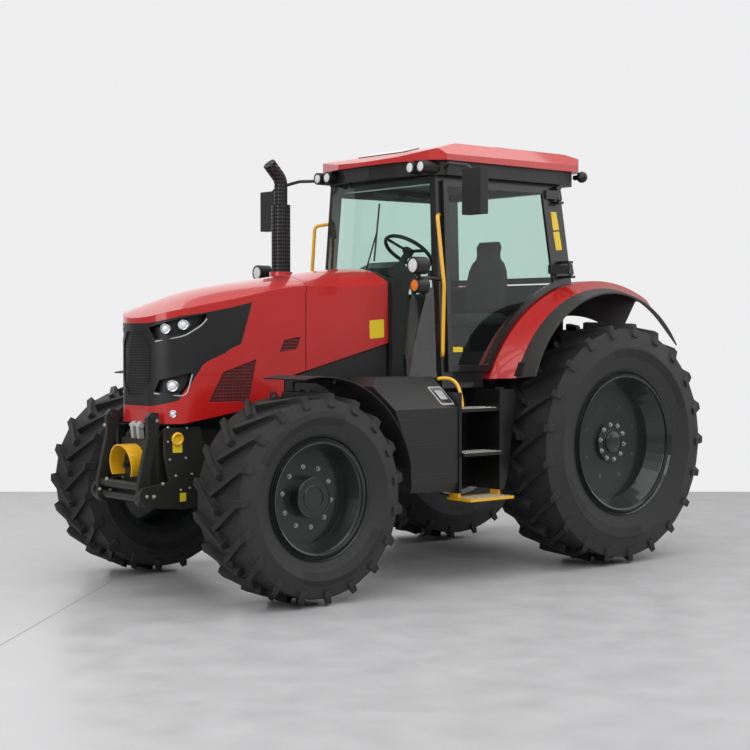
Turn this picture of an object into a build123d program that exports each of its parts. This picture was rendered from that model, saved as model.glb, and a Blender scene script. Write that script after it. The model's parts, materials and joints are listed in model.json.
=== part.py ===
from build123d import *
import math
import os

os.makedirs("parts", exist_ok=True)

# Four-wheel-drive farm tractor. Millimetres, +X forward, +Y left, +Z up.
# The origin is on the floor under the middle of the outline.

# Running gear
WHEELBASE = 2960.0
FRONT_REACH = 905.0
REAR_REACH = 1097.0
FRONT_AXLE_X = (WHEELBASE + REAR_REACH - FRONT_REACH) / 2
FRONT_TRACK = 1916.0
REAR_TRACK = 1904.0
RUNNING_GAP = 0.5
SEAT_GAP = 0.3

# Tyres and rims: radius over the lugs, section width, lug height, lugs on each side of the tread
FRONT_TYRE_R = 713.0
FRONT_TYRE_W = 540.0
FRONT_TREAD_W = 494.0
FRONT_LUG_H = 45.0
FRONT_LUGS = 19
FRONT_BEAD_R = 381.0
FRONT_FLANGE_R = 411.0
FRONT_RIM_W = 450.0
REAR_TYRE_R = 947.0
REAR_TYRE_W = 620.0
REAR_TREAD_W = 570.0
REAR_LUG_H = 52.0
REAR_LUGS = 21
REAR_BEAD_R = 533.0
REAR_FLANGE_R = 559.0
REAR_RIM_W = 550.0
LUG_BAR_W = 62.0
RIM_WALL = 12.0

# Front axle and steering
KINGPIN_Y = 700.0
KINGPIN_R = 28.0
KNUCKLE_R = 84.0
KNUCKLE_H = 210.0
YOKE_T = 36.0
AXLE_BEAM_R = 95.0
TIE_ARM = 235.0
TIE_ARM_Y = KINGPIN_Y
TIE_ROD_Z = 618.0
TIE_ROD_R = 17.0
TIE_PIN_R = 12.0

# Bonnet and cowl
BONNET_WALL = 18.0
BONNET_SEAM = 7.0
BONNET_HINGE_X = -660.0
BONNET_HINGE_Z = 2075.0
HINGE_PIN_R = 12.0

# Cab
CAB_HALF_W = 742.0
SILL_Z = 1500.0
SIDE_LEAN = 4.5
CAB_TOP_Z = 2975.0
PILLAR_T = 60.0
DOOR_T = 24.0
GLASS_T = 8.0

REAR_AXLE_X = FRONT_AXLE_X - WHEELBASE
FRONT_AXLE_Z = FRONT_TYRE_R * math.cos(0.31 * LUG_BAR_W / FRONT_TYRE_R)
REAR_AXLE_Z = REAR_TYRE_R * math.cos(0.31 * LUG_BAR_W / REAR_TYRE_R)


def fx(x):
    """A place given ahead of the front axle."""
    return FRONT_AXLE_X + x


def rx(x):
    """A place given ahead of the rear axle."""
    return REAR_AXLE_X + x


def block(x0, x1, y0, y1, z0, z1):
    """A box between two corners, its x given ahead of the front axle."""
    centre = Location((fx((x0 + x1) / 2), (y0 + y1) / 2, (z0 + z1) / 2))
    return centre * Box(abs(x1 - x0), abs(y1 - y0), abs(z1 - z0))


def outline(points):
    """A face in the side view from (x, z) points, its x ahead of the front axle."""
    return Face(Wire.make_polygon([Vector(fx(x), 0, z) for x, z in points], close=True))


def across(face, y0, y1):
    """A side-view face drawn across the tractor from y0 to y1."""
    return Solid.extrude(face.moved(Location((0, y0, 0))), Vector(0, y1 - y0, 0))


def plan(points, z0, z1):
    """A plan outline of (x, y) points drawn up from z0 to z1."""
    wire = Wire.make_polygon([Vector(fx(x), y, z0) for x, y in points], close=True)
    return Solid.extrude(Face(wire), Vector(0, 0, z1 - z0))


def rod(start, end, radius):
    """A round bar from start to end, x ahead of the front axle."""
    a = Vector(fx(start[0]), start[1], start[2])
    b = Vector(fx(end[0]), end[1], end[2])
    return Solid.make_cylinder(radius, (b - a).length, Plane(origin=a, z_dir=(b - a).normalized()))


def tube(points, radius, bend):
    """A bent round bar along points, x ahead of the front axle."""
    corners = [Vector(fx(x), y, z) for x, y, z in points]
    path = FilletPolyline(*corners, radius=bend)
    profile = Plane(origin=path @ 0, z_dir=path % 0) * Circle(radius)
    return sweep(profile, path=path)


def both(shape):
    """The shape and its mirror image on the other side."""
    return [shape, mirror(shape, about=Plane.XZ)]


def flatten(shapes):
    out = []
    for s in shapes:
        out += flatten(s) if isinstance(s, (list, tuple)) else list(s.solids())
    return out


def save(name, *shapes):
    solids = flatten(shapes)
    shape = solids[0] if len(solids) == 1 else Compound(solids)
    export_step(shape, f"parts/{name}.step")


# Wheels


def wheel_point(angle, radius, y, side_y, axle):
    return Vector(axle[0] + radius * math.cos(angle), side_y + y, axle[1] + radius * math.sin(angle))


def facet_ring(profile, sides, side_y, axle):
    """A ring with flat facets about an axle: (radius, y) points of its closed section."""
    faces = []
    for j, (r0, y0) in enumerate(profile):
        r1, y1 = profile[(j + 1) % len(profile)]
        if r0 < 1e-6 and r1 < 1e-6:
            continue
        for i in range(sides):
            a0 = 2 * math.pi * i / sides - math.pi / 2
            a1 = 2 * math.pi * (i + 1) / sides - math.pi / 2
            corners = [wheel_point(a0, r0, y0, side_y, axle), wheel_point(a1, r0, y0, side_y, axle)]
            corners += [wheel_point(a1, r1, y1, side_y, axle), wheel_point(a0, r1, y1, side_y, axle)]
            if r0 < 1e-6:
                corners = corners[1:]
            elif r1 < 1e-6:
                corners = corners[:3]
            faces.append(Face(Wire.make_polygon(corners, close=True)))
    return Solid(Shell(faces))


def lug(angle, side, tyre_r, tread_w, section_w, lug_h, sweep_arc, side_y, axle):
    """One tread bar: it runs from the middle of the tread, back and out over the shoulder."""
    half = tread_w / 2
    stations = [
        (0.0, -0.045 * tread_w, tyre_r, lug_h + 12, LUG_BAR_W * 0.62),
        (sweep_arc * 0.93, half, tyre_r - 0.35 * lug_h, lug_h + 16, LUG_BAR_W * 0.8),
        (sweep_arc, section_w / 2 - 6, tyre_r - 2.3 * lug_h, lug_h, LUG_BAR_W),
    ]
    rings = []
    for arc, y, top, depth, width in stations:
        mid = angle + arc / tyre_r
        base = 8 if y < half + 1 else 4
        quad = []
        for r, w, dy in ((top, width / 2, 0), (top - depth, width / 2 + base, -0.12 * depth)):
            if y > half + 1:
                r, dy = top, (0 if r == top else -depth)
            turn = w / tyre_r
            yy = side * (y + dy)
            quad.append((wheel_point(mid - turn, r, yy, side_y, axle), wheel_point(mid + turn, r, yy, side_y, axle)))
        (a, b), (d, c) = quad
        rings.append([a, b, c, d])
    faces = []
    for first, second in zip(rings, rings[1:]):
        for k in range(4):
            m = (k + 1) % 4
            faces.append(Face(Wire.make_polygon([first[k], first[m], second[m]], close=True)))
            faces.append(Face(Wire.make_polygon([first[k], second[m], second[k]], close=True)))
    for ring in (rings[0], rings[-1]):
        faces.append(Face(Wire.make_polygon([ring[0], ring[1], ring[2]], close=True)))
        faces.append(Face(Wire.make_polygon([ring[0], ring[2], ring[3]], close=True)))
    solid = Solid(Shell(faces))
    return solid if solid.volume > 0 else Solid(solid.wrapped.Reversed())


def tyre(tyre_r, section_w, tread_w, lug_h, lugs, bead_r, flange_r, rim_w, axle):
    """A tyre about y = 0, with its bars fused to the carcass."""
    inner = bead_r + SEAT_GAP
    bead_y = rim_w / 2 - 2.2 * RIM_WALL
    under = tyre_r - lug_h
    half = [
        (inner, bead_y),
        (flange_r + 2 * SEAT_GAP, rim_w / 2 - RIM_WALL - 2 * SEAT_GAP),
        (inner + 0.55 * (under - inner), section_w / 2),
        (under - 8, tread_w / 2 - 8),
    ]
    profile = half + [(r, -y) for r, y in reversed(half)]
    carcass = facet_ring(profile, 2 * lugs, 0, axle)
    pitch = 2 * math.pi / lugs
    arc = 0.86 * pitch * tyre_r
    bars = []
    for i in range(lugs):
        for side, shift in ((1, 0.0), (-1, 0.5)):
            bars.append(lug((i + shift) * pitch - math.pi / 2, side, tyre_r, tread_w, section_w, lug_h, arc, 0, axle))
    return carcass.fuse(*bars)


def rim(bead_r, flange_r, rim_w, disc_y, hub_r, hub_y, sides, axle):
    """A dished wheel with its hub cap, the dish facing +Y, about y = 0."""
    edge = rim_w / 2
    well = bead_r - RIM_WALL
    profile = [
        (flange_r, edge),
        (flange_r, edge - RIM_WALL),
        (bead_r, edge - 2 * RIM_WALL),
        (bead_r, -edge + 2 * RIM_WALL),
        (flange_r, -edge + RIM_WALL),
        (flange_r, -edge),
        (well, -edge + 2 * RIM_WALL),
        (well, disc_y - 2.2 * RIM_WALL),
        (0, disc_y - 2.2 * RIM_WALL),
        (0, hub_y),
        (hub_r, hub_y),
        (hub_r, disc_y),
        (0.86 * well, disc_y),
        (well, disc_y + 0.22 * rim_w),
    ]
    return facet_ring(profile, sides, 0, axle)


front_axle = (fx(0), FRONT_AXLE_Z)
rear_axle = (rx(0), REAR_AXLE_Z)
FRONT_DISC_Y = 72.0
FRONT_HUB_R = 139.0
FRONT_HUB_Y = 150.0
REAR_DISC_Y = 110.0
REAR_HUB_R = 155.0
REAR_HUB_Y = 136.0
front_tyre = tyre(
    FRONT_TYRE_R, FRONT_TYRE_W, FRONT_TREAD_W, FRONT_LUG_H, FRONT_LUGS, FRONT_BEAD_R, FRONT_FLANGE_R, FRONT_RIM_W, front_axle
)
rear_tyre = tyre(
    REAR_TYRE_R, REAR_TYRE_W, REAR_TREAD_W, REAR_LUG_H, REAR_LUGS, REAR_BEAD_R, REAR_FLANGE_R, REAR_RIM_W, rear_axle
)
front_rim = rim(
    FRONT_BEAD_R, FRONT_FLANGE_R, FRONT_RIM_W, FRONT_DISC_Y, FRONT_HUB_R, FRONT_HUB_Y, 2 * FRONT_LUGS, front_axle
)
rear_rim = rim(
    REAR_BEAD_R, REAR_FLANGE_R, REAR_RIM_W, REAR_DISC_Y, REAR_HUB_R, REAR_HUB_Y, 2 * REAR_LUGS, rear_axle
)
for axle_name, track, rubber, metal in (
    ("front", FRONT_TRACK, front_tyre, front_rim),
    ("rear", REAR_TRACK, rear_tyre, rear_rim),
):
    wheel_y = track / 2
    save(f"tyre_{axle_name}_left", rubber.moved(Location((0, wheel_y, 0))))
    save(f"tyre_{axle_name}_right", mirror(rubber.moved(Location((0, wheel_y, 0))), about=Plane.XZ))
    save(f"rim_{axle_name}_left", metal.moved(Location((0, wheel_y, 0))))
    save(f"rim_{axle_name}_right", mirror(metal.moved(Location((0, wheel_y, 0))), about=Plane.XZ))

# Front axle, knuckles and tie rod
AZ = FRONT_AXLE_Z
KNUCKLE_TOP = AZ + KNUCKLE_H / 2
KNUCKLE_LOW = AZ - KNUCKLE_H / 2
YOKE_GAP = 0.5
YOKE_WEB_Y = 570.0
PIN_GAP = 0.05
PIVOT_X = 165.0
BULGE_R = 150.0
TRUNNION_R = 60.0

beam = rod((0, -YOKE_WEB_Y, AZ), (0, YOKE_WEB_Y, AZ), AXLE_BEAM_R)
beam += rod((0, -130, AZ), (0, 130, AZ), BULGE_R)
beam += rod((-PIVOT_X + SEAT_GAP, 0, AZ), (PIVOT_X - SEAT_GAP, 0, AZ), TRUNNION_R)
yoke = block(-60, 60, YOKE_WEB_Y, 605, KNUCKLE_LOW - YOKE_GAP - YOKE_T, KNUCKLE_TOP + YOKE_GAP + YOKE_T)
for low, high in (
    (KNUCKLE_TOP + YOKE_GAP, KNUCKLE_TOP + YOKE_GAP + YOKE_T),
    (KNUCKLE_LOW - YOKE_GAP - YOKE_T, KNUCKLE_LOW - YOKE_GAP),
):
    yoke += block(-60, 60, 604, KINGPIN_Y, low, high)
    yoke += rod((0, KINGPIN_Y, low), (0, KINGPIN_Y, high), 60)
yoke -= rod((0, KINGPIN_Y, AZ - 200), (0, KINGPIN_Y, AZ + 200), KINGPIN_R + PIN_GAP)
beam += yoke
beam += mirror(yoke, about=Plane.XZ)
save("front_axle", beam)

FRONT_STUB_Y = FRONT_TRACK / 2 + FRONT_DISC_Y - 2.2 * RIM_WALL - RUNNING_GAP
FENDER_F_R = 785.0
FENDER_F_T = 8.0
FENDER_F_DX = -10.0
FENDER_F_DZ = 20.0
FENDER_F_IN = 750.0
FENDER_F_OUT = 1200.0
FENDER_TUBE_R = 16.0


def knuckle():
    """The left steering knuckle with its pins, wheel stub, steering arm and fender tube."""
    body = rod((0, KINGPIN_Y, KNUCKLE_LOW), (0, KINGPIN_Y, KNUCKLE_TOP), KNUCKLE_R)
    reach = YOKE_GAP + YOKE_T + 4
    body += rod((0, KINGPIN_Y, KNUCKLE_LOW - reach), (0, KINGPIN_Y, KNUCKLE_TOP + reach), KINGPIN_R)
    body += rod((0, KINGPIN_Y, AZ), (0, FRONT_STUB_Y, AZ), 80)
    body += rod((0, FRONT_STUB_Y - 24, AZ), (0, FRONT_STUB_Y, AZ), 130)
    arm = plan(
        [(-40, KINGPIN_Y - 38), (-40, KINGPIN_Y + 38), (-TIE_ARM, TIE_ARM_Y + 30), (-TIE_ARM - 30, TIE_ARM_Y),
         (-TIE_ARM, TIE_ARM_Y - 30)],
        TIE_ROD_Z + 22,
        TIE_ROD_Z + 48,
    )
    body += arm
    body += rod((-TIE_ARM, TIE_ARM_Y, TIE_ROD_Z - 24), (-TIE_ARM, TIE_ARM_Y, TIE_ROD_Z + 30), TIE_PIN_R)
    inner_r = FENDER_F_R - FENDER_F_T
    tube_x = -165
    seat_r = inner_r - FENDER_TUBE_R - SEAT_GAP
    top = AZ + FENDER_F_DZ + math.sqrt(seat_r**2 - (tube_x - FENDER_F_DX) ** 2)
    body += tube(
        [(-50, KINGPIN_Y, AZ + 40), (tube_x, KINGPIN_Y, AZ + 60), (tube_x, 655, AZ + 330), (tube_x, 655, top),
         (tube_x, 1120, top)],
        FENDER_TUBE_R,
        40,
    )
    return body


left_knuckle = knuckle()
save("knuckle_left", left_knuckle)
save("knuckle_right", mirror(left_knuckle, about=Plane.XZ))


def ring_point(cx, cz, r, degrees):
    """A point (x, z) on a circle, its centre given ahead of the front axle."""
    a = math.radians(degrees)
    return cx + r * math.cos(a), cz + r * math.sin(a)


def arc_band(cx, cz, r, start, end, thick):
    """A side-view face between two arcs about one centre."""
    rim_pts = []
    for radius in (r, r - thick):
        rim_pts.append([Vector(fx(p[0]), 0, p[1]) for p in (
            ring_point(cx, cz, radius, start),
            ring_point(cx, cz, radius, (start + end) / 2),
            ring_point(cx, cz, radius, end),
        )])
    outer, inner = rim_pts
    edges = [
        Edge.make_three_point_arc(outer[0], outer[1], outer[2]),
        Edge.make_line(outer[2], inner[2]),
        Edge.make_three_point_arc(inner[2], inner[1], inner[0]),
        Edge.make_line(inner[0], outer[0]),
    ]
    return Face(Wire(edges))


front_band = arc_band(FENDER_F_DX, AZ + FENDER_F_DZ, FENDER_F_R, 78, 170, FENDER_F_T)
front_fender = across(front_band, FENDER_F_IN, FENDER_F_OUT)
save("front_fender_left", front_fender)
save("front_fender_right", mirror(front_fender, about=Plane.XZ))

tie = rod((-TIE_ARM, -TIE_ARM_Y, TIE_ROD_Z), (-TIE_ARM, TIE_ARM_Y, TIE_ROD_Z), TIE_ROD_R)
for eye_y, gap in ((TIE_ARM_Y, PIN_GAP), (-TIE_ARM_Y, 1.0)):
    tie += rod((-TIE_ARM, eye_y, TIE_ROD_Z - 20), (-TIE_ARM, eye_y, TIE_ROD_Z + 20), 30)
    tie -= rod((-TIE_ARM, eye_y, TIE_ROD_Z - 40), (-TIE_ARM, eye_y, TIE_ROD_Z + 40), TIE_PIN_R + gap)
save("tie_rod", tie)

# Front frame, engine, transmission
ENGINE_LOW = 900.0
FRAME_IN = 140.0
FRAME_OUT = 215.0
FRAME_NOSE_X = 640.0
rail = outline([
    (-420, 815), (-420, ENGINE_LOW), (150, ENGINE_LOW), (150, 1140), (600, 1140), (FRAME_NOSE_X, 1100),
    (FRAME_NOSE_X, 640), (520, 640), (430, 790), (225, 860), (225, 655), (PIVOT_X, 655), (PIVOT_X, 868),
    (-PIVOT_X, 868), (-PIVOT_X, 655), (-225, 655), (-225, 815),
])
frame = across(rail, -FRAME_OUT, -FRAME_IN) + across(rail, FRAME_IN, FRAME_OUT)
frame += block(PIVOT_X, 225, -FRAME_IN, FRAME_IN, 655, 800)
frame += block(-225, -PIVOT_X, -FRAME_IN, FRAME_IN, 655, 800)
frame += block(560, FRAME_NOSE_X, -FRAME_IN, FRAME_IN, 640, 1100)
frame += block(-420, -360, -FRAME_IN, FRAME_IN, 815, ENGINE_LOW)
save("front_frame", frame)
ENGINE_TOP = 1590.0
save("engine_block", block(-900, 148, -230, 230, ENGINE_LOW, ENGINE_TOP))

PTO_R = 17.5
GEARBOX = [
    (-900, 660), (-900, 1330), (-2500, 1370), (-2700, 1300), (-3190, 1240), (-3250, 1000), (-3190, 640),
    (-2600, 560), (-1500, 600),
]
gear = across(outline(GEARBOX), -190, 190)
RZ = REAR_AXLE_Z
REAR_STUB_Y = REAR_TRACK / 2 + REAR_DISC_Y - 2.2 * RIM_WALL - RUNNING_GAP
RA = -WHEELBASE
gear += rod((RA, -REAR_STUB_Y, RZ), (RA, REAR_STUB_Y, RZ), 105)
gear += rod((RA, -640, RZ), (RA, 640, RZ), 150)
for s in (1, -1):
    gear += rod((RA, s * (REAR_STUB_Y - 24), RZ), (RA, s * REAR_STUB_Y, RZ), 170)
REAR_PTO_Z = 760.0
REAR_PTO_SEAT = -3240.0
gear += rod((-3150, 0, REAR_PTO_Z), (REAR_PTO_SEAT, 0, REAR_PTO_Z), 60)
gear += rod((REAR_PTO_SEAT + 10, 0, REAR_PTO_Z), (REAR_PTO_SEAT - 90, 0, REAR_PTO_Z), PTO_R)
gear += rod((-900, 0, 730), (-225 - SEAT_GAP, 0, 730), 32)
FLOOR_LOW = 1382.0
TANK_IN = 470.0
for x in (-1440, -2390):
    gear += block(x - 60, x + 60, -300, 300, 1290, FLOOR_LOW - SEAT_GAP)
for x in (-1075, -1325):
    gear += block(x - 35, x + 35, SEAT_GAP - TANK_IN, TANK_IN - SEAT_GAP, 690, 770)
save("transmission", gear)

# Bonnet form: crown loft, plan and side outline
STATIONS = [
    (760, 345, 1848, 1860), (530, 345, 1962, 2001), (360, 374, 1997, 2066), (0, 400, 2065, 2147),
    (-690, 400, 2140, 2243), (-1300, 400, 2195, 2290),
]
PLAN_HALF = [(-1300, 400), (0, 400), (360, 374), (500, 350), (600, 292), (668, 195), (694, 95), (702, 0)]


def crown_section(x, half, edge_z, top_z, inset, low):
    drop = top_z - edge_z
    radius = (half**2 + drop**2) / (2 * drop)
    wide = half + 30
    wide_drop = radius - math.sqrt(radius**2 - wide**2)
    z_top = top_z - inset
    z_edge = top_z - wide_drop - inset
    a = Vector(fx(x), -wide, low)
    b = Vector(fx(x), -wide, z_edge)
    c = Vector(fx(x), 0, z_top)
    d = Vector(fx(x), wide, z_edge)
    e = Vector(fx(x), wide, low)
    return Wire([
        Edge.make_line(a, b),
        Edge.make_three_point_arc(b, c, d),
        Edge.make_line(d, e),
        Edge.make_line(e, a),
    ])


def inset_plan(distance):
    """The bonnet's half plan moved in along its normals."""
    x_last, y_last = PLAN_HALF[-2]
    beyond = PLAN_HALF + [(x_last, -y_last)]
    moved = []
    for i, (x, y) in enumerate(PLAN_HALF):
        x0, y0 = PLAN_HALF[max(i - 1, 0)]
        x1, y1 = beyond[i + 1]
        length = math.hypot(x1 - x0, y1 - y0)
        moved.append((x + distance * (y1 - y0) / length, y - distance * (x1 - x0) / length))
    return moved


def bonnet_form(inset):
    """The solid inside the bonnet's outer skin, or inside its inner skin."""
    crown = Solid.make_loft([crown_section(*s, inset, 1000) for s in STATIONS])
    half = inset_plan(inset)
    left = [Vector(fx(x), y, 900) for x, y in half]
    right = [Vector(p.X, -p.Y, p.Z) for p in reversed(left)]
    nose = left[1:] + right[1:-1]
    wire = Wire([
        Edge.make_line(right[-1], left[0]),
        Edge.make_line(left[0], left[1]),
        Edge.make_spline(nose, tangents=[Vector(1, 0, 0), Vector(-1, 0, 0)]),
        Edge.make_line(right[-2], right[-1]),
    ])
    body = Solid.extrude(Face(wire), Vector(0, 0, 1500))
    return crown & body


NOSE_SIDE = [(900, 1187), (672, 1187), (680, 1275), (706, 1880), (706, 2400), (-1240, 2400)]
LOWER_EDGE = [(-1240, 1726), (-280, 1482), (-280, 1326), (530, 1187)]
outer = bonnet_form(0) & across(outline(NOSE_SIDE[1:] + LOWER_EDGE), -500, 500)
INNER_SIDE = [
    (672 - BONNET_WALL, 1000), (680 - BONNET_WALL, 1275), (706 - BONNET_WALL, 1880), (706 - BONNET_WALL, 2400),
    (-1300, 2400), (-1300, 1000),
]
inner = bonnet_form(BONNET_WALL) & across(outline(INNER_SIDE), -500, 500)
skin = outer - inner
SEAM_R = 190.0
seam_cyl = rod((BONNET_HINGE_X, -500, BONNET_HINGE_Z), (BONNET_HINGE_X, 500, BONNET_HINGE_Z), SEAM_R)
fixed_cyl = rod((BONNET_HINGE_X, -500, BONNET_HINGE_Z), (BONNET_HINGE_X, 500, BONNET_HINGE_Z), SEAM_R - BONNET_SEAM)
front_zone = block(BONNET_HINGE_X + SEAM_R, 900, -500, 500, 1000, 2400)
front_zone += block(BONNET_HINGE_X, BONNET_HINGE_X + SEAM_R + 1, -500, 500, BONNET_HINGE_Z, 2400) - seam_cyl
rear_zone = block(-1400, BONNET_HINGE_X, -500, 500, 1000, 2400)
rear_zone += block(BONNET_HINGE_X - 1, BONNET_HINGE_X + SEAM_R - BONNET_SEAM, -500, 500, 1000, BONNET_HINGE_Z)
rear_zone += fixed_cyl & block(BONNET_HINGE_X - 1, 0, -500, 500, BONNET_HINGE_Z - 1, 2400)
MASK = [
    (800, 1305), (681, 1305), (552, 1345), (382, 1584), (342, 1611), (210, 1664), (160, 1698), (85, 1725),
    (-8, 2016), (171, 1976), (347, 1944), (538, 1916), (639, 1886), (682, 1869), (800, 1862),
]
mask_zone = across(outline(MASK), -500, 500)
opening_skin = skin & front_zone
mask = opening_skin & mask_zone
bonnet = opening_skin - mask_zone
hinge_arm = outline([
    (-660, 2047), (-470, 1975), (-385, 1987), (-372, 2178), (-420, 2178), (-432, 2017), (-472, 2003), (-648, 2097),
])
ARM_IN = 150.0
ARM_OUT = 166.0
for s in (1, -1):
    arm = across(hinge_arm, s * ARM_IN, s * ARM_OUT)
    arm += rod((BONNET_HINGE_X, s * ARM_IN, BONNET_HINGE_Z), (BONNET_HINGE_X, s * ARM_OUT, BONNET_HINGE_Z), 30)
    arm -= rod((BONNET_HINGE_X, s * 100, BONNET_HINGE_Z), (BONNET_HINGE_X, s * 200, BONNET_HINGE_Z), HINGE_PIN_R + 0.3)
    bonnet += arm

# Recesses of the nose: each follows the outer skin at its own depth
CORNER = (0.72, 0.69)


def nose_inside(inset):
    """The space inside the nose's skin at a depth below it."""
    moved = [(x - inset, z) for x, z in NOSE_SIDE[1:-1]] + [(-1240, 2400), (-1240, 1000)]
    return bonnet_form(inset) & across(outline(moved), -500, 500)


def corner_prism(points, back, ahead):
    """A prism over the left nose corner: its (x, y, z) outline seen along the corner's diagonal."""
    cx, cy = CORNER
    side = [((x * -cy + y * cx), z) for x, y, z in points]
    base = 380.0
    corners = [Vector(fx(base * cx - w * cy), base * cy + w * cx, z) for w, z in side]
    face = Face(Wire.make_polygon(corners, close=True))
    start = Vector(cx, cy, 0) * -back
    return Solid.extrude(face.moved(Location(start)), Vector(cx, cy, 0) * (back + ahead))


def corner_rod(place, radius):
    x, y, z = place
    cx, cy = CORNER
    return rod((x - 160 * cx, y - 160 * cy, z), (x + 90 * cx, y + 90 * cy, z), radius)


def grown(points, by):
    """The outline moved out from its middle."""
    n = len(points)
    cx, cy, cz = (sum(p[i] for p in points) / n for i in range(3))
    return [(x + by * 0.7 * (1 if x > cx else -1), y + by * 0.7 * (1 if y > cy else -1), z + by * (1 if z > cz else -1))
            for x, y, z in points]


HEADLIGHT = [(676, 150, 1838), (509, 345, 1906), (347, 375, 1931), (381, 370, 1869), (509, 344, 1795), (660, 200, 1758)]
FOG_LIGHT = [(660, 195, 1404), (640, 228, 1484), (462, 358, 1532), (505, 350, 1385)]
HEX_PANEL = [(0, 1815), (100, 1812), (176, 1720), (174, 1483), (95, 1376), (0, 1374)]
POCKET_DEEP = 48.0
BUCKET_DEEP = 62.0
SHALLOW = 10.0
LIP = 4.0
HEADLAMPS = [((618, 266, 1830), 33.0), ((520, 337, 1857), 33.0)]
FOG_LAMP = ((585, 300, 1444), 38.0)
STRIP_LAMP = ((581, 303, 1255), 24.0)
shell_out = nose_inside(LIP)
shell_floor = nose_inside(POCKET_DEEP)
shell_back = nose_inside(BUCKET_DEEP)
for opening in (HEADLIGHT, FOG_LIGHT):
    bucket = (corner_prism(grown(opening, 13), 200, 300) & shell_out) - shell_back
    bucket = bucket & mask_zone
    pocket = corner_prism(opening, 200, 300) - shell_floor
    for shape in both(bucket):
        mask += shape
    for shape in both(pocket):
        mask -= shape
hexagon = HEX_PANEL + [(-y, z) for y, z in reversed(HEX_PANEL[1:-1])]
hex_wire = Wire.make_polygon([Vector(fx(500), y, z) for y, z in hexagon], close=True)
mask -= Solid.extrude(Face(hex_wire), Vector(400, 0, 0)) - nose_inside(SHALLOW)
save("nose_mask", mask)
lamp_floor = nose_inside(POCKET_DEEP - SEAT_GAP)
lamp_face = nose_inside(SHALLOW)
lamps = []
for place, radius in HEADLAMPS + [FOG_LAMP]:
    lamps.append((corner_rod(place, radius) & lamp_face) - lamp_floor)
strip_hole = corner_rod(STRIP_LAMP[0], STRIP_LAMP[1] + SEAT_GAP)
for shape in both(strip_hole):
    bonnet -= shape
lamps.append((corner_rod(*STRIP_LAMP) & shell_out) - nose_inside(2 * BONNET_WALL))
save("headlamps", [both(shape) for shape in lamps])

# Grille panels let into the bonnet's sides
SIDE_MESH = [(227, 1534), (-42, 1620), (18, 1330), (340, 1330)]
SIDE_VENT = [(-243, 1667), (-282, 1752), (-430, 1776), (-394, 1687)]
GRILLE_DEEP = 9.0
GRILLE_T = 4.0


def side_panel(points, gap):
    """A bonnet side outline, moved in by a gap, drawn through the left side."""
    cx = sum(x for x, _ in points) / len(points)
    cz = sum(z for _, z in points) / len(points)
    moved = [(x - gap * (1 if x > cx else -1), z - gap * (1 if z > cz else -1)) for x, z in points]
    return across(outline(moved), 330, 420)


grille_floor = bonnet_form(GRILLE_DEEP)
grilles = []
for panel in (SIDE_MESH, SIDE_VENT):
    recess = side_panel(panel, 0) - grille_floor
    for shape in both(recess):
        bonnet -= shape
    insert = (side_panel(panel, SEAT_GAP) & bonnet_form(GRILLE_DEEP - GRILLE_T)) - bonnet_form(GRILLE_DEEP - SEAT_GAP)
    grilles.append(insert)
save("bonnet", bonnet)
save("bonnet_grilles", [both(shape) for shape in grilles])
cowl = skin & rear_zone
LUG_IN = ARM_OUT + 2
LUG_OUT = LUG_IN + 14
cowl_lug = outline([(-640, 2045), (-680, 2045), (-720, 2235), (-600, 2235)])
for s in (1, -1):
    cowl += across(cowl_lug, s * LUG_IN, s * LUG_OUT) & (bonnet_form(BONNET_WALL / 2) & rear_zone)
cowl += rod((BONNET_HINGE_X, -LUG_OUT, BONNET_HINGE_Z), (BONNET_HINGE_X, LUG_OUT, BONNET_HINGE_Z), HINGE_PIN_R)

# Exhaust through the cowl
EXHAUST_X = -770.0
EXHAUST_Y = -300.0
SHIELD_R = 71.5
COLLAR_T = 16.0
COLLAR_TOP = 2262.0
cowl += rod((EXHAUST_X, EXHAUST_Y, 2150), (EXHAUST_X, EXHAUST_Y, COLLAR_TOP), SHIELD_R + COLLAR_T)
cowl -= rod((EXHAUST_X, EXHAUST_Y, 2000), (EXHAUST_X, EXHAUST_Y, 2400), SHIELD_R + SEAT_GAP)
save("cowl", cowl)
stack = rod((EXHAUST_X, EXHAUST_Y, 1700), (EXHAUST_X, EXHAUST_Y, 2770), SHIELD_R)
stack += tube([(EXHAUST_X, EXHAUST_Y, 2765), (EXHAUST_X, EXHAUST_Y, 2960), (EXHAUST_X + 110, EXHAUST_Y, 3075)], 50, 100)
stack += block(-815, -725, -350, -150, ENGINE_TOP + SEAT_GAP, 1702)
save("exhaust_stack", stack)

# Side shields under the cowl
shield = outline([(-300, 1474), (-1240, 1714), (-1240, 1420), (-900, 1335), (-300, 1335)])
side_shield = across(shield, 355, 385)
shield_tab = outline([(-490, 1500), (-1235, 1690), (-1235, 1760), (-490, 1570)])
side_shield += across(shield_tab, 357, 400 - BONNET_WALL - SEAT_GAP)
save("side_shields", both(side_shield))

# Cab side: everything on it lies in slabs parallel to the leaning glass
LEAN = math.tan(math.radians(SIDE_LEAN))
FENDER_IN = (-183.0, -73.0, 1343.0)
FENDER_MID = (-55.0, 169.0, 1036.0)
FENDER_EDGE = (112.0, 262.0, 907.0)
FENDER_IN_Y = 760.0
FENDER_MID_Y = 950.0
FENDER_EDGE_Y = 1200.0
FENDER_T = 14.0
FENDER_DEEP_Y = 605.0


def side_y(z, out=0.0):
    """How far out the cab's side plane is at a height."""
    return CAB_HALF_W - (z - SILL_Z) * LEAN + out


def lean_slab(inner_out, outer_out):
    """A slab along the left cab side between two distances out from its plane."""
    low, high = 1000.0, 3200.0
    points = [
        (side_y(low, inner_out), low), (side_y(low, outer_out), low),
        (side_y(high, outer_out), high), (side_y(high, inner_out), high),
    ]
    wire = Wire.make_polygon([Vector(fx(-3200), y, z) for y, z in points], close=True)
    return Solid.extrude(Face(wire), Vector(2200, 0, 0))


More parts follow.
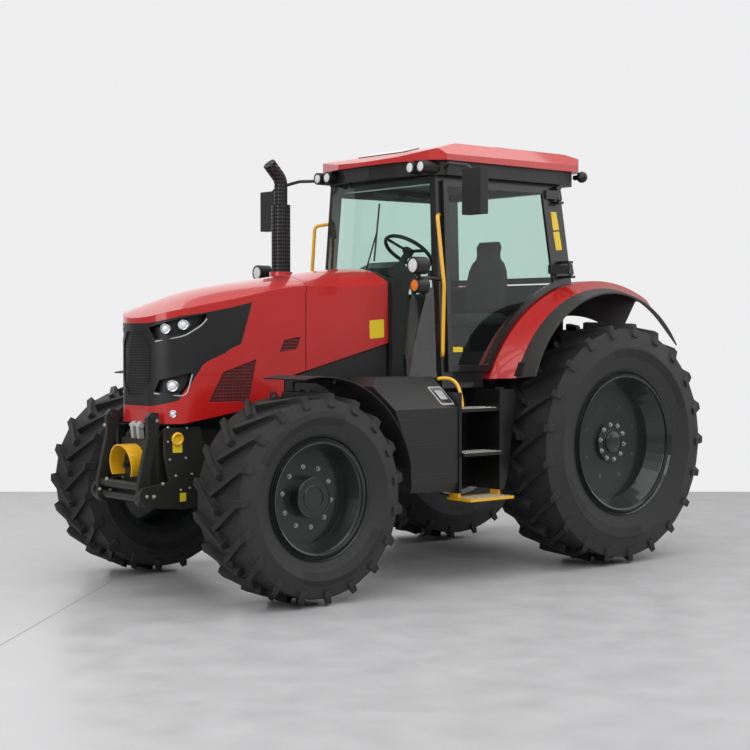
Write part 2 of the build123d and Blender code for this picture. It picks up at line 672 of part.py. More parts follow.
def fender_disc(radius):
    """The space inside the wheel arch circle, across the left half."""
    cx, cz = RA + FENDER_IN[0], RZ + FENDER_IN[1]
    return rod((cx, 500, cz), (cx, 900, cz), radius)


DOOR_LOW = FENDER_IN[2] + 11
FRAME_LOW = FENDER_IN[2] + 1
FRAME_ARC = 26.0
door_shape = across(outline([
    (-1518, 1512), (-1562, 2938), (-2655, 2946), (-2735, 2150), (-2600, 1900), (-1930, 1512),
]), 500, 900)
door_arc = fender_disc(DOOR_LOW)
door_all = door_shape - door_arc
door_open = across(outline([
    (-1562, 1560), (-1602, 2890), (-2612, 2898), (-2688, 2150), (-2560, 1900), (-1905, 1560),
]), 500, 900) - fender_disc(DOOR_LOW + 46)
door_frame = (door_all - door_open) & lean_slab(5, 5 + DOOR_T)
glass_hole = across(outline([
    (-1562, 1560), (-1602, 2890), (-2612, 2898), (-2688, 2150), (-2560, 1900), (-1905, 1560),
]), 500, 900) - fender_disc(DOOR_LOW + 46)
door_glass = glass_hole & lean_slab(12, 12 + GLASS_T)

# Hinge axis: two pins behind the pillar, the lower one standing further out
HINGE_HIGH = (-2790.0, side_y(2930, 32), 2930.0)
HINGE_LOW = (-2806.0, side_y(2300, 105), 2300.0)


def hinge_at(z):
    t = (z - HINGE_LOW[2]) / (HINGE_HIGH[2] - HINGE_LOW[2])
    return tuple(a + t * (b - a) for a, b in zip(HINGE_LOW, HINGE_HIGH))


DOOR_PIN_R = 11.0
for z in (2300.0, 2890.0):
    low, high = hinge_at(z - 40), hinge_at(z + 40)
    knuckle_ring = rod(low, high, 22) - rod(hinge_at(z - 90), hinge_at(z + 90), DOOR_PIN_R + PIN_GAP)
    x0, y0, _ = hinge_at(z)
    strap = Solid.extrude(
        Face(Wire.make_polygon([
            Vector(fx(-2640), side_y(z, 29), z - 34), Vector(fx(x0 + 14), y0 - 10, z - 34),
            Vector(fx(x0 + 14), y0 + 12, z - 34), Vector(fx(-2640), side_y(z, 45), z - 34),
        ], close=True)), Vector(0, 0, 68))
    strap += block(-2690, -2640, side_y(z, 20), side_y(z, 45), z - 34, z + 34) & (lean_slab(20, 60))
    strap -= rod(hinge_at(z - 90), hinge_at(z + 90), 18)
    strap -= lean_slab(-200, 3)
    door_frame += strap + knuckle_ring
save("door_frame_left", door_frame)
save("door_frame_right", mirror(door_frame, about=Plane.XZ))
save("door_glass_left", door_glass)
save("door_glass_right", mirror(door_glass, about=Plane.XZ))

# Cab frame: side rings, cross members and hinge brackets
side_ring = across(outline([
    (-1470, 1392), (-1508, CAB_TOP_Z), (-2842, CAB_TOP_Z), (-2922, 2195), (-2600, 2100), (-1890, 1470), (-1890, 1392),
]), 500, 900)
side_ring -= fender_disc(FRAME_LOW)
side_open = across(outline([
    (-1540, 1530), (-1580, 2910), (-2680, 2916), (-2762, 2210), (-2600, 1900), (-1900, 1530),
]), 500, 900) - fender_disc(FRAME_LOW + FRAME_ARC)
side_frame = (side_ring - side_open) & lean_slab(-PILLAR_T, 0)
for z in (2300.0, 2890.0):
    x0, y0, _ = hinge_at(z)
    for dz in (-68.0, 48.0):
        px, py, _ = hinge_at(z + dz + 10)
        bracket = block(px - 26, px + 26, side_y(z, -20), py + 16, z + dz, z + dz + 20)
        side_frame += bracket - lean_slab(-300, -30)
    side_frame += rod(hinge_at(z - 66), hinge_at(z + 66), DOOR_PIN_R)
frame_all = side_frame + mirror(side_frame, about=Plane.XZ)
TOP_Y = side_y(CAB_TOP_Z, -10)
frame_all += block(-1590, -1512, -TOP_Y, TOP_Y, 2915, CAB_TOP_Z)
frame_all += block(-2840, -2770, -TOP_Y, TOP_Y, 2915, CAB_TOP_Z)
REAR_RAIL_Z = 2202.0
frame_all += block(-2922, -2850, -side_y(REAR_RAIL_Z, -30), side_y(REAR_RAIL_Z, -30), REAR_RAIL_Z, REAR_RAIL_Z + 46)
save("cab_frame", frame_all)

# Glass at the front and rear


def bowed_section(points, thick, z):
    """A section of a bowed pane at one height, from the plan points of its outer face, edge to middle."""
    left = [Vector(fx(x), y, z) for x, y in points]
    front = left + [Vector(p.X, -p.Y, p.Z) for p in reversed(left[:-1])]
    inward = -thick if points[-1][0] > points[0][0] else thick
    back = [Vector(p.X + inward, p.Y * 0.985, p.Z) for p in reversed(front)]
    return Wire([
        Edge.make_spline(front),
        Edge.make_line(front[-1], back[0]),
        Edge.make_spline(back),
        Edge.make_line(back[-1], front[0]),
    ])


SCREEN_LOW_Z = 1432.0
PANE_TOP_Z = 2968.0
SCREEN_CUT_Y = 432.0
SCUTTLE_Z = 2195.0
screen_low = bowed_section([(-1461.5, 700), (-1330, 440), (-1275, 200), (-1262, 0)], GLASS_T, SCREEN_LOW_Z)
screen_top = bowed_section([(-1499, 580), (-1480, 380), (-1462, 190), (-1455, 0)], GLASS_T, PANE_TOP_Z)
windscreen = Solid.make_loft([screen_low, screen_top], ruled=True)
windscreen -= block(-1440, -1000, -SCREEN_CUT_Y, SCREEN_CUT_Y, 1300, SCUTTLE_Z + 20)
save("windscreen", windscreen)
rear_low = bowed_section([(-2924.5, 640), (-2955, 400), (-2975, 200), (-2980, 0)], GLASS_T, 2252)
rear_top = bowed_section([(-2851, 585), (-2884, 370), (-2905, 190), (-2910, 0)], GLASS_T, PANE_TOP_Z)
save("rear_window", Solid.make_loft([rear_low, rear_top], ruled=True))

# Cab tub: floor, firewall, wheel-house walls and rear wall
FLOOR_TOP = 1412.0
FLOOR_Y = side_y(FLOOR_TOP, -PILLAR_T) - SEAT_GAP
TUB_PLAN = [(-1262, 0), (-1262, 432), (-1470, FLOOR_Y), (-1890, FLOOR_Y), (-1930, 600), (-2920, 600), (-2920, 0)]
tub_outline = TUB_PLAN + [(x, -y) for x, y in reversed(TUB_PLAN[1:-1])]
tub = plan(tub_outline, FLOOR_LOW, FLOOR_TOP)
CHEEK_Y = SCREEN_CUT_Y - 2
tub += block(-1290, -1262, -CHEEK_Y, CHEEK_Y, 1411, SCUTTLE_Z)
tub += bonnet_form(6) & block(-1290, -1240 - SEAT_GAP, -500, 500, 1726, 2400)
tub += block(-1430, -1262, -CHEEK_Y, CHEEK_Y, SCUTTLE_Z, SCUTTLE_Z + 17)
tub += both(across(outline([(-1262, 1411), (-1262, SCUTTLE_Z), (-1430, SCUTTLE_Z), (-1350, 1411)]), CHEEK_Y - 15, CHEEK_Y))
inner_arch = fender_disc(FENDER_IN[2] - FENDER_T - 1)
wall = (block(-2920, -1930, 575, 600, 1411, 2210) & inner_arch)
tub += wall + mirror(wall, about=Plane.XZ)
tub += block(-2920, -2890, -600, 600, 1411, 2190)
tub += block(-2890, -2250, -576, 576, 1620, 1650) + block(-2280, -2250, -576, 576, 1411, 1650)
save("cab_tub", tub)

# Rear fenders: red inner part and grey outer part, ruled between three arcs


def fender_face(circle, y, start, end, thick):
    band = arc_band(RA + circle[0], RZ + circle[1], circle[2], start, end, thick)
    return band.moved(Location((0, y, 0)))


IN_ARC = (25.6, 117.0)
MID_ARC = (19.5, 133.0)
EDGE_ARC = (17.6, 147.0)
red = Solid.make_loft([
    fender_face(FENDER_IN, FENDER_IN_Y, *IN_ARC, FENDER_T).outer_wire(),
    fender_face(FENDER_MID, FENDER_MID_Y, *MID_ARC, FENDER_T).outer_wire(),
], ruled=True)
red += across(arc_band(RA + FENDER_IN[0], RZ + FENDER_IN[1], FENDER_IN[2], *IN_ARC, FENDER_T), FENDER_DEEP_Y, FENDER_IN_Y)
save("rear_fenders", both(red))
grey = Solid.make_loft([
    fender_face(FENDER_MID, FENDER_MID_Y + SEAT_GAP, *MID_ARC, FENDER_T).outer_wire(),
    fender_face(FENDER_EDGE, FENDER_EDGE_Y, *EDGE_ARC, FENDER_T).outer_wire(),
], ruled=True)
save("fender_extensions", both(grey))

# Roof
ROOF_PLAN = [(-1345, 0), (-1365, 350), (-1440, 640), (-1530, 735), (-2950, 725), (-3050, 640), (-3070, 0)]
ROOF_LOW = 3080.0


def roof_plan(inset, z0, z1):
    half = [(x - inset if x > -2000 else x + inset, max(y - inset, 0)) for x, y in ROOF_PLAN]
    return plan(half + [(x, -y) for x, y in reversed(half[1:-1])], z0, z1)


roof_side = outline([
    (-1300, ROOF_LOW), (-1345, 3110), (-1450, 3160), (-1700, 3222), (-2100, 3262), (-2460, 3280), (-2800, 3250),
    (-3050, 3190), (-3080, 3120), (-3080, ROOF_LOW),
])
roof_cross = Wire.make_polygon([Vector(fx(-1200), y, z) for y, z in [
    (-740, ROOF_LOW), (-740, 3120), (-620, 3225), (-300, 3280), (300, 3280), (620, 3225), (740, 3120), (740, ROOF_LOW),
]], close=True)
roof = roof_plan(0, ROOF_LOW, 3300) & across(roof_side, -800, 800)
roof = roof & Solid.extrude(Face(roof_cross), Vector(-2000, 0, 0))
save("roof_cap", roof)
save("roof_band", roof_plan(38, CAB_TOP_Z, ROOF_LOW))

# Cab inside: dashboard, steering wheel, seat
dash = across(outline([
    (-1290 - SEAT_GAP, FLOOR_TOP + SEAT_GAP), (-1290 - SEAT_GAP, 2190), (-1432, 2190), (-1440, 2300), (-1560, 2350), (-1700, 2240), (-1640, 2150),
    (-1520, 1700), (-1520, FLOOR_TOP + SEAT_GAP),
]), -190, 190)
save("dashboard", dash)
WHEEL = (-1790.0, 0.0, 2440.0)
column = rod((-1640, 0, 2230), WHEEL, 28)
wheel_plane = Plane(origin=(fx(WHEEL[0]), 0, WHEEL[2]), z_dir=(-0.58, 0, 0.815))
grip = [(200 + 15 * math.cos(math.pi * k / 3), 15 * math.sin(math.pi * k / 3)) for k in range(6)]
ring = facet_ring(grip, 28, 0, (0, 0)).moved(Location(wheel_plane) * Location((0, 0, 0), (90, 0, 0)))
spokes = [Location(wheel_plane) * Location((0, 0, 0), (0, 0, a)) * Pos(98, 0, 0) * Box(196, 26, 12) for a in (90, 210, 330)]
steering = ring
for spoke in spokes:
    steering += spoke
steering += Solid.make_cylinder(45, 30, Plane(origin=wheel_plane.origin - wheel_plane.z_dir * 15, z_dir=wheel_plane.z_dir))
steering += column - rod((-1640, 0, 2230), (-1600, 0, 2176), 60)
save("steering_wheel", steering - dash)
save("seat_base", block(-2620, -2250.3, -210, 210, 1650, 1840), block(-2600, -2150, -520, -330, 1650, 2090))
CUSHION_TOP = 1960.0
save("seat_cushion", block(-2700, -2200, -255, 255, 1840 + SEAT_GAP, CUSHION_TOP))
back_low = CUSHION_TOP + SEAT_GAP
seat_back = across(outline([(-2705, back_low), (-2590, back_low), (-2640, 2580), (-2720, 2580)]), -235, 235)
save("seat_back", seat_back)

# Tank and steps
TANK_OUT = 1000.0
tank_side = across(outline([
    (-765, 1420), (-800, 1250), (-935, 950), (-955, 670), (-1400, 650), (-1400, 1380), (-1392, 1482), (-850, 1482),
]), TANK_IN, TANK_OUT)
tank_front = Wire.make_polygon([Vector(fx(-600), y, z) for y, z in [
    (TANK_IN, 640), (TANK_OUT - 30, 640), (TANK_OUT, 720), (TANK_OUT, 1262), (720, 1482), (TANK_IN, 1482),
]], close=True)
tank = tank_side & Solid.extrude(Face(tank_front), Vector(-900, 0, 0))
tank -= plan([(-700, 400), (-700, 720), (-955, 560), (-1000, 400)], 600, 1384)
tank -= block(-1500, -1240, 300, 722, 1376, 1600)
save("fuel_tank", tank)
save("battery_box", mirror(tank, about=Plane.XZ))
STEP_X = -1400 - SEAT_GAP
STEP_TOP = FLOOR_LOW - SEAT_GAP
step_side = block(-1425, STEP_X, 600, 1010, 640, 1370)
rear_plate = across(outline([(-1815, 640), (-1815, STEP_TOP), (-1960, STEP_TOP), (-1985, 1340), (-1900, 740), (-1860, 640)]), 985, 1003)
rear_plate += block(-1838, -1815, 600, 985, 640, STEP_TOP)
steps = step_side + rear_plate
for z, y_out in ((1225.0, 990.0), (905.0, 1040.0)):
    steps += block(-1816, -1424, 740, y_out, z, z + 24)
steps += block(-1838, STEP_X, 600, 640, 640, STEP_TOP)
save("steps", both(steps))
low_tread = block(-1838, -1401, 880, 1130, 585, 605)
low_tread += block(-1425, -1401, 900, 1000, 600, 640 - SEAT_GAP)
low_tread += block(-1838, -1815, 900, 985, 600, 640 - SEAT_GAP)
save("lower_treads", both(low_tread))

# Handrails, mirrors and lamps
RAIL_R = 14.0


def rail():
    y_top, y_low = side_y(2680, -2), side_y(1625, -2)
    bar = tube([
        (-1528, y_top, 2680), (-1432, y_top + 90, 2660), (-1440, side_y(2150, 110), 2150), (-1432, y_low + 66, 1640),
        (-1488, y_low, 1625),
    ], RAIL_R, 40)
    return bar - lean_slab(-300, SEAT_GAP)


save("handrails", both(rail()))
MIRROR_Y = 1225.0


def mirror_set():
    arm = tube([(-1590, 640, 3030), (-1400, 900, 3030), (-1345, 1150, 2990), (-1345, MIRROR_Y, 2930)], 13, 60)
    arm -= roof_plan(38 - SEAT_GAP, 2900, 3079)
    head = block(-1385, -1310, MIRROR_Y - 95, MIRROR_Y + 95, 2640, 2965)
    return arm + head


save("mirrors", both(mirror_set()))


def lamp(x, y, z, r, depth):
    return rod((x - depth, y, z), (x, y, z), r)


def outrigger():
    arm = tube([(-1515, side_y(2200, -3), 2200), (-1300, 800, 2200), (-1080, 930, 2190), (-1080, 930, 2235)], 14, 22)
    arm -= lean_slab(-300, SEAT_GAP)
    return arm + lamp(-1009, 947, 2280, 62, 110) + lamp(-1040, 930, 2140, 55, 100)


roof_lamps = [lamp(-1370, y, 3030, 48, 150) - roof_plan(38 - SEAT_GAP, 2900, 3079) for y in (500, 620)]
save("work_lamps", both(outrigger()), [both(l) for l in roof_lamps])

# Wiper on the scuttle
wiper = block(-1352, -1300, -60, 60, SCUTTLE_Z + 17 + SEAT_GAP, SCUTTLE_Z + 55)
wiper += rod((-1330, 20, SCUTTLE_Z + 50), (-1392, 90, 2570), 6)
wiper += rod((-1366, 90, 2350), (-1419, 90, 2790), 7)
save("wiper", wiper)

# Front linkage
PLATE_IN = 295.0
PLATE_OUT = 320.0
ARM_SPLIT = 10.0
ARM_T = 35.0
ARM_AXIS = (800.0, 690.0)
ARM_SHAFT_R = 25.0
plate = outline([
    (370, 1160), (654, 1162), (655, 975), (617, 798), (732, 778), (832, 768), (857, 720), (850, 680), (810, 642),
    (695, 622), (525, 606), (385, 610), (337, 960),
])
link_frame = across(plate, PLATE_IN, PLATE_OUT) + across(plate, -PLATE_OUT, -PLATE_IN)
link_frame += block(FRAME_NOSE_X + SEAT_GAP, 700, -PLATE_IN - 1, PLATE_IN + 1, 660, 770)
link_frame += block(FRAME_NOSE_X + SEAT_GAP, 700, -170, 170, 769, 1080)
link_frame += rod((ARM_AXIS[0], -PLATE_IN, ARM_AXIS[1]), (ARM_AXIS[0], PLATE_IN, ARM_AXIS[1]), ARM_SHAFT_R)
FRONT_PTO_Z = 900.0
GUARD_R = 145.0
link_frame += rod((699, 0, FRONT_PTO_Z), (790, 0, FRONT_PTO_Z), PTO_R)
save("front_linkage_frame", link_frame)
guard = rod((700 + SEAT_GAP, 0, FRONT_PTO_Z), (848, 0, FRONT_PTO_Z), GUARD_R)
guard -= rod((690, 0, FRONT_PTO_Z), (860, 0, FRONT_PTO_Z), GUARD_R - 10)
guard_cut = block(690, 860, -200, 200, FRONT_PTO_Z - 200, FRONT_PTO_Z - 70)
guard_cut += across(outline([(860, 1060), (860, 800), (800, 800), (826, 1060)]), -200, 200)
save("pto_guard", guard - guard_cut)
arm_face = outline([
    (745, 664), (800, 636), (840, 655), (842, 780), (797, 978), (764, 1110), (773, 1233), (735, 1272), (682, 1262),
    (676, 1190), (709, 1029), (752, 842),
])
arm_out = PLATE_IN - ARM_SPLIT
front_arm = across(arm_face, arm_out - ARM_T, arm_out)
front_arm += rod((ARM_AXIS[0], arm_out - ARM_T - 12, ARM_AXIS[1]), (ARM_AXIS[0], arm_out + 5, ARM_AXIS[1]), 50)
front_arm -= rod((ARM_AXIS[0], 100, ARM_AXIS[1]), (ARM_AXIS[0], 400, ARM_AXIS[1]), ARM_SHAFT_R + PIN_GAP)
front_arm += rod((725, arm_out - ARM_T - 14, 1230), (725, arm_out + 8, 1230), 20)
cross_tube = rod((800, -arm_out + ARM_T / 2, 768), (800, arm_out - ARM_T / 2, 768), 30)
save("front_lift_arms", front_arm + mirror(front_arm, about=Plane.XZ) + cross_tube)

# Rear linkage: the lift arms stay parallel to the lower links, so the lift rods keep their slope
LINK_X = RA - 150
LINK_Z = 600.0
LINK_Y = 290.0
EYE = (RA - 1055, 440.0, 620.0)
EYE_R = 42.0
LINK_PIN_R = 18.0
LIFT_X = RA - 302
LIFT_Z = 1160.0
LIFT_ARM = 330.0
LIFT_SHAFT_R = 34.0
LIFT_PIN_R = 13.0
LIFT_ROD_Y = 402.0
link_len = math.hypot(EYE[0] - LINK_X, EYE[2] - LINK_Z)
reach_x = LIFT_ARM * (EYE[0] - LINK_X) / link_len
reach_z = LIFT_ARM * (EYE[2] - LINK_Z) / link_len
TIP = (LIFT_X + reach_x, LIFT_Z + reach_z)
DROP = (LINK_X + reach_x, LINK_Z + reach_z)
DROP_Y = LINK_Y + (EYE[1] - LINK_Y) * LIFT_ARM / link_len
TOP_LINK = (RA - 368, 930.0)

HITCH_LOW = 545.0
frame_side = outline([
    (RA - 60, 700), (RA - 60, 860), (RA - 250, 1240), (LIFT_X - 60, 1240), (LIFT_X - 60, 1090), (RA - 290, 1000),
    (RA - 290, 640), (RA - 220, HITCH_LOW), (RA - 110, HITCH_LOW),
])
rear_frame = across(frame_side, 191, 226) + across(frame_side, -226, -191)
rear_frame += block(RA - 325, RA - 292, -226, 226, 850, 1000)
rear_frame += block(RA - 293, RA - 288, -226, 226, 850, 1000)
for s in (1, -1):
    rear_frame += block(TOP_LINK[0] - 40, RA - 320, s * 26, s * 44, 880, 980)
rear_frame += rod((TOP_LINK[0], -46, TOP_LINK[1]), (TOP_LINK[0], 46, TOP_LINK[1]), LIFT_PIN_R)
rear_frame += rod((LINK_X, -330, LINK_Z), (LINK_X, 330, LINK_Z), LINK_PIN_R)
rear_frame -= rod((LIFT_X, -240, LIFT_Z), (LIFT_X, 240, LIFT_Z), LIFT_SHAFT_R + PIN_GAP)
rear_frame -= gear
save("rear_hitch_frame", rear_frame)

lower = rod((LINK_X, LINK_Y, LINK_Z), EYE, 22)
lower += rod((LINK_X, LINK_Y - 25, LINK_Z), (LINK_X, LINK_Y + 25, LINK_Z), EYE_R)
lower -= rod((LINK_X, LINK_Y - 60, LINK_Z), (LINK_X, LINK_Y + 60, LINK_Z), LINK_PIN_R + PIN_GAP)
lower += rod((EYE[0], EYE[1] - 25, EYE[2]), (EYE[0], EYE[1] + 25, EYE[2]), EYE_R)
lower -= rod((EYE[0], EYE[1] - 60, EYE[2]), (EYE[0], EYE[1] + 60, EYE[2]), LINK_PIN_R + 0.4)
lower += rod((DROP[0], DROP_Y, DROP[1]), (DROP[0], LIFT_ROD_Y + 18, DROP[1]), LIFT_PIN_R)
save("rear_lower_links", both(lower))

lift = rod((LIFT_X, -375, LIFT_Z), (LIFT_X, 375, LIFT_Z), LIFT_SHAFT_R)
lift_arm = rod((LIFT_X, 335, LIFT_Z), (LIFT_X, 375, LIFT_Z), 56)
lift_arm += rod((TIP[0], 345, TIP[1]), (TIP[0], 375, TIP[1]), 34)
lift_arm += across(outline([
    (LIFT_X, LIFT_Z - 52), (LIFT_X, LIFT_Z + 52), (TIP[0], TIP[1] + 30), (TIP[0], TIP[1] - 30),
]), 347, 373)
lift_arm += rod((TIP[0], 350, TIP[1]), (TIP[0], LIFT_ROD_Y + 18, TIP[1]), LIFT_PIN_R)
lift += both(lift_arm)
save("rear_lift_arms", lift)

lift_rod = rod((TIP[0], LIFT_ROD_Y, TIP[1]), (DROP[0], LIFT_ROD_Y, DROP[1]), 17)
for place, gap in ((TIP, PIN_GAP), (DROP, 1.0)):
    lift_rod += rod((place[0], LIFT_ROD_Y - 16, place[1]), (place[0], LIFT_ROD_Y + 16, place[1]), 30)
    lift_rod -= rod((place[0], LIFT_ROD_Y - 60, place[1]), (place[0], LIFT_ROD_Y + 60, place[1]), LIFT_PIN_R + gap)
save("rear_lift_rods", both(lift_rod))

TOP_LINK_END = (TOP_LINK[0] - 640, TOP_LINK[1] + 60)
top_link = rod((TOP_LINK[0], 0, TOP_LINK[1]), (TOP_LINK_END[0], 0, TOP_LINK_END[1]), 21)
for place, gap in ((TOP_LINK, PIN_GAP), (TOP_LINK_END, 0.4)):
    top_link += rod((place[0], -24, place[1]), (place[0], 24, place[1]), 34)
    top_link -= rod((place[0], -60, place[1]), (place[0], 60, place[1]), LIFT_PIN_R + gap)
save("top_link", top_link)

DRAWBAR_LOW = 440.0
DRAWBAR_TOP = 475.0
DRAWBAR_PIN_R = 16.0
drawbar = block(RA - 620, RA - 100, -45, 45, DRAWBAR_LOW, DRAWBAR_TOP)
drawbar -= rod((RA - 570, 0, 400), (RA - 570, 0, 500), DRAWBAR_PIN_R)
drawbar += block(RA - 215, RA - 115, -226, 226, DRAWBAR_TOP, HITCH_LOW - SEAT_GAP)
save("drawbar", drawbar)
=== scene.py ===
import bpy
import bmesh
import json
import math
from mathutils import Matrix, Vector


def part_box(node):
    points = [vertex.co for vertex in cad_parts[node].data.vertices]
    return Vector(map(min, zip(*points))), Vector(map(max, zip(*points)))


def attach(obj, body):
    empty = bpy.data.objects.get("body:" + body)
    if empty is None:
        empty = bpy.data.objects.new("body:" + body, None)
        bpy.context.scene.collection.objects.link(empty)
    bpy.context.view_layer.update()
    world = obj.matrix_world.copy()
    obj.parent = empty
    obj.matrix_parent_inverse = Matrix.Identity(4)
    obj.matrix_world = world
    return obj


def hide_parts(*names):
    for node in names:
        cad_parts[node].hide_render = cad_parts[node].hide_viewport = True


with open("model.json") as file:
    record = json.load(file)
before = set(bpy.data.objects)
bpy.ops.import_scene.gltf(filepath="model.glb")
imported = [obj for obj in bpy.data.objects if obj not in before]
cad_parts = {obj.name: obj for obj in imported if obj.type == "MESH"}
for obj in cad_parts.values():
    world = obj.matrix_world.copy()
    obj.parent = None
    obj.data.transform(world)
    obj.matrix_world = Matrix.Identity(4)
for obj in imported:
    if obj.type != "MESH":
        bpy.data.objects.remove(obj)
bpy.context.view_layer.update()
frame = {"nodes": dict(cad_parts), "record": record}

# Camera, from the fit to the photograph
CAMERA_AT = Vector((7.810, 9.2084, 1.8146))
CAMERA_LOOK = Vector((-0.64041, -0.76751, -0.02833))
CAMERA_LENS = 74.4
FLOOR_REACH = 40.0
WALL_COLOUR = (0.86, 0.86, 0.87, 1)
AMBIENT = 0.30
FLOOR_BEHIND = 5.4
FLOOR_BEFORE = 18.0

# Real places in the row frame, in metres
FRONT_AXLE_X = 1.576
WHEELBASE = 2.96


def new_material(name):
    """An empty node material with its shader and output."""
    material = bpy.data.materials.new(name)
    material.use_nodes = True
    nodes = material.node_tree.nodes
    nodes.clear()
    out = nodes.new("ShaderNodeOutputMaterial")
    shader = nodes.new("ShaderNodeBsdfPrincipled")
    material.node_tree.links.new(shader.outputs["BSDF"], out.inputs["Surface"])
    return material, shader


def noise(material, scale, detail=4.0, rough=0.55):
    """Object-space noise, its scale in waves per metre."""
    tree = material.node_tree
    coords = tree.nodes.new("ShaderNodeTexCoord")
    texture = tree.nodes.new("ShaderNodeTexNoise")
    texture.inputs["Scale"].default_value = scale
    texture.inputs["Detail"].default_value = detail
    texture.inputs["Roughness"].default_value = rough
    tree.links.new(coords.outputs["Object"], texture.inputs["Vector"])
    return texture.outputs["Fac"]


def spread(material, value, low, high):
    """A 0 to 1 value mapped to a range."""
    tree = material.node_tree
    mapped = tree.nodes.new("ShaderNodeMapRange")
    mapped.inputs["From Min"].default_value = 0.3
    mapped.inputs["From Max"].default_value = 0.7
    mapped.inputs["To Min"].default_value = low
    mapped.inputs["To Max"].default_value = high
    tree.links.new(value, mapped.inputs["Value"])
    return mapped.outputs["Result"]


def tint(material, value, dark, light):
    """A colour between two, by a 0 to 1 value."""
    tree = material.node_tree
    mix = tree.nodes.new("ShaderNodeMix")
    mix.data_type = "RGBA"
    mix.inputs["A"].default_value = (*dark, 1)
    mix.inputs["B"].default_value = (*light, 1)
    tree.links.new(value, mix.inputs["Factor"])
    return mix.outputs["Result"]


def grain(material, shader, height, strength, distance, edge):
    """Bump from a height, on edges rounded in the shading."""
    tree = material.node_tree
    bump = tree.nodes.new("ShaderNodeBump")
    bump.inputs["Strength"].default_value = strength
    bump.inputs["Distance"].default_value = distance
    tree.links.new(height, bump.inputs["Height"])
    if edge > 0:
        bevel = tree.nodes.new("ShaderNodeBevel")
        bevel.samples = 4
        bevel.inputs["Radius"].default_value = edge
        tree.links.new(bevel.outputs["Normal"], bump.inputs["Normal"])
    tree.links.new(bump.outputs["Normal"], shader.inputs["Normal"])


def surface(name, dark, light, rough, metal=0.0, coat=0.0, scale=60.0, bump=0.1, depth=0.0003, edge=0.004):
    """A moulded, cast or painted surface with fine grain and slow changes of tone and sheen."""
    material, shader = new_material(name)
    links = material.node_tree.links
    slow = noise(material, 3.0)
    links.new(tint(material, slow, dark, light), shader.inputs["Base Color"])
    links.new(spread(material, slow, rough[0], rough[1]), shader.inputs["Roughness"])
    shader.inputs["Metallic"].default_value = metal
    shader.inputs["Coat Weight"].default_value = coat
    shader.inputs["Coat Roughness"].default_value = 0.04
    grain(material, shader, noise(material, scale), bump, depth, edge)
    return material


def glass_material(name, colour, thin):
    """Tinted glazing: clear through, with a reflection that grows at a slant."""
    material, shader = new_material(name)
    tree = material.node_tree
    out = next(n for n in tree.nodes if n.type == "OUTPUT_MATERIAL")
    clear = tree.nodes.new("ShaderNodeBsdfTransparent")
    clear.inputs["Color"].default_value = (*colour, 1)
    gloss = tree.nodes.new("ShaderNodeBsdfGlossy")
    gloss.inputs["Roughness"].default_value = 0.02
    fresnel = tree.nodes.new("ShaderNodeFresnel")
    fresnel.inputs["IOR"].default_value = 1.45
    mix = tree.nodes.new("ShaderNodeMixShader")
    side = tree.nodes.new("ShaderNodeNewGeometry")
    front = tree.nodes.new("ShaderNodeMath")
    front.operation = "SUBTRACT"
    front.inputs[0].default_value = 1
    tree.links.new(side.outputs["Backfacing"], front.inputs[1])
    once = tree.nodes.new("ShaderNodeMath")
    once.operation = "MULTIPLY"
    tree.links.new(fresnel.outputs["Fac"], once.inputs[0])
    tree.links.new(front.outputs[0], once.inputs[1])
    tree.links.new(once.outputs[0], mix.inputs["Fac"])
    tree.links.new(clear.outputs["BSDF"], mix.inputs[1])
    tree.links.new(gloss.outputs["BSDF"], mix.inputs[2])
    tree.links.new(mix.outputs["Shader"], out.inputs["Surface"])
    tree.nodes.remove(shader)
    return material


def math_node(material, operation, *values):
    """One math node: each value is a number or another node's output."""
    tree = material.node_tree
    node = tree.nodes.new("ShaderNodeMath")
    node.operation = operation
    for socket, value in zip(node.inputs, values):
        if isinstance(value, (int, float)):
            socket.default_value = value
        else:
            tree.links.new(value, socket)
    return node.outputs[0]


def axes(material):
    """The object-space x, y and z of the shaded point."""
    tree = material.node_tree
    coords = tree.nodes.new("ShaderNodeTexCoord")
    split = tree.nodes.new("ShaderNodeSeparateXYZ")
    tree.links.new(coords.outputs["Object"], split.inputs[0])
    return split.outputs


def step_up(material, value, low, high):
    """A soft step from 0 below low to 1 above high."""
    tree = material.node_tree
    mapped = tree.nodes.new("ShaderNodeMapRange")
    mapped.interpolation_type = "SMOOTHSTEP"
    mapped.inputs["From Min"].default_value = low
    mapped.inputs["From Max"].default_value = high
    tree.links.new(value, mapped.inputs["Value"])
    return mapped.outputs["Result"]


def perforated(name, along, metal_colour, hole_shade_colour, pitch, open_share, rough=0.4):
    """Sheet with rows of round holes on a pitch, along two axes of the row frame or round an upright; the holes are
    painted near black on the whole sheet, as painted shade.
    """
    material, shader = new_material(name)
    tree = material.node_tree
    x, y, z = axes(material)
    if along == "round":
        turned = math_node(material, "ARCTAN2", math_node(material, "ADD", y, 0.3), math_node(material, "SUBTRACT", x, 0.806))
        across, up = math_node(material, "MULTIPLY", turned, 0.0715), z
    else:
        across, up = {"side": (x, z), "front": (y, z)}[along]
    flat = tree.nodes.new("ShaderNodeCombineXYZ")
    tree.links.new(across, flat.inputs[0])
    tree.links.new(math_node(material, "MULTIPLY", up, 0.62), flat.inputs[1])
    cells = tree.nodes.new("ShaderNodeTexVoronoi")
    cells.voronoi_dimensions = "2D"
    cells.inputs["Scale"].default_value = 1 / pitch
    cells.inputs["Randomness"].default_value = 0
    tree.links.new(flat.outputs[0], cells.inputs["Vector"])
    solid = step_up(material, cells.outputs["Distance"], open_share, open_share + 0.08)
    # Painted shade: the holes take a near-black colour for the shade seen through them, on an uncut sheet.
    tree.links.new(tint(material, solid, hole_shade_colour, metal_colour), shader.inputs["Base Color"])
    tree.links.new(math_node(material, "SUBTRACT", 1.0, math_node(material, "MULTIPLY", solid, 1 - rough)), shader.inputs["Roughness"])
    grain(material, shader, solid, 0.6, 0.003, 0.003)
    return material


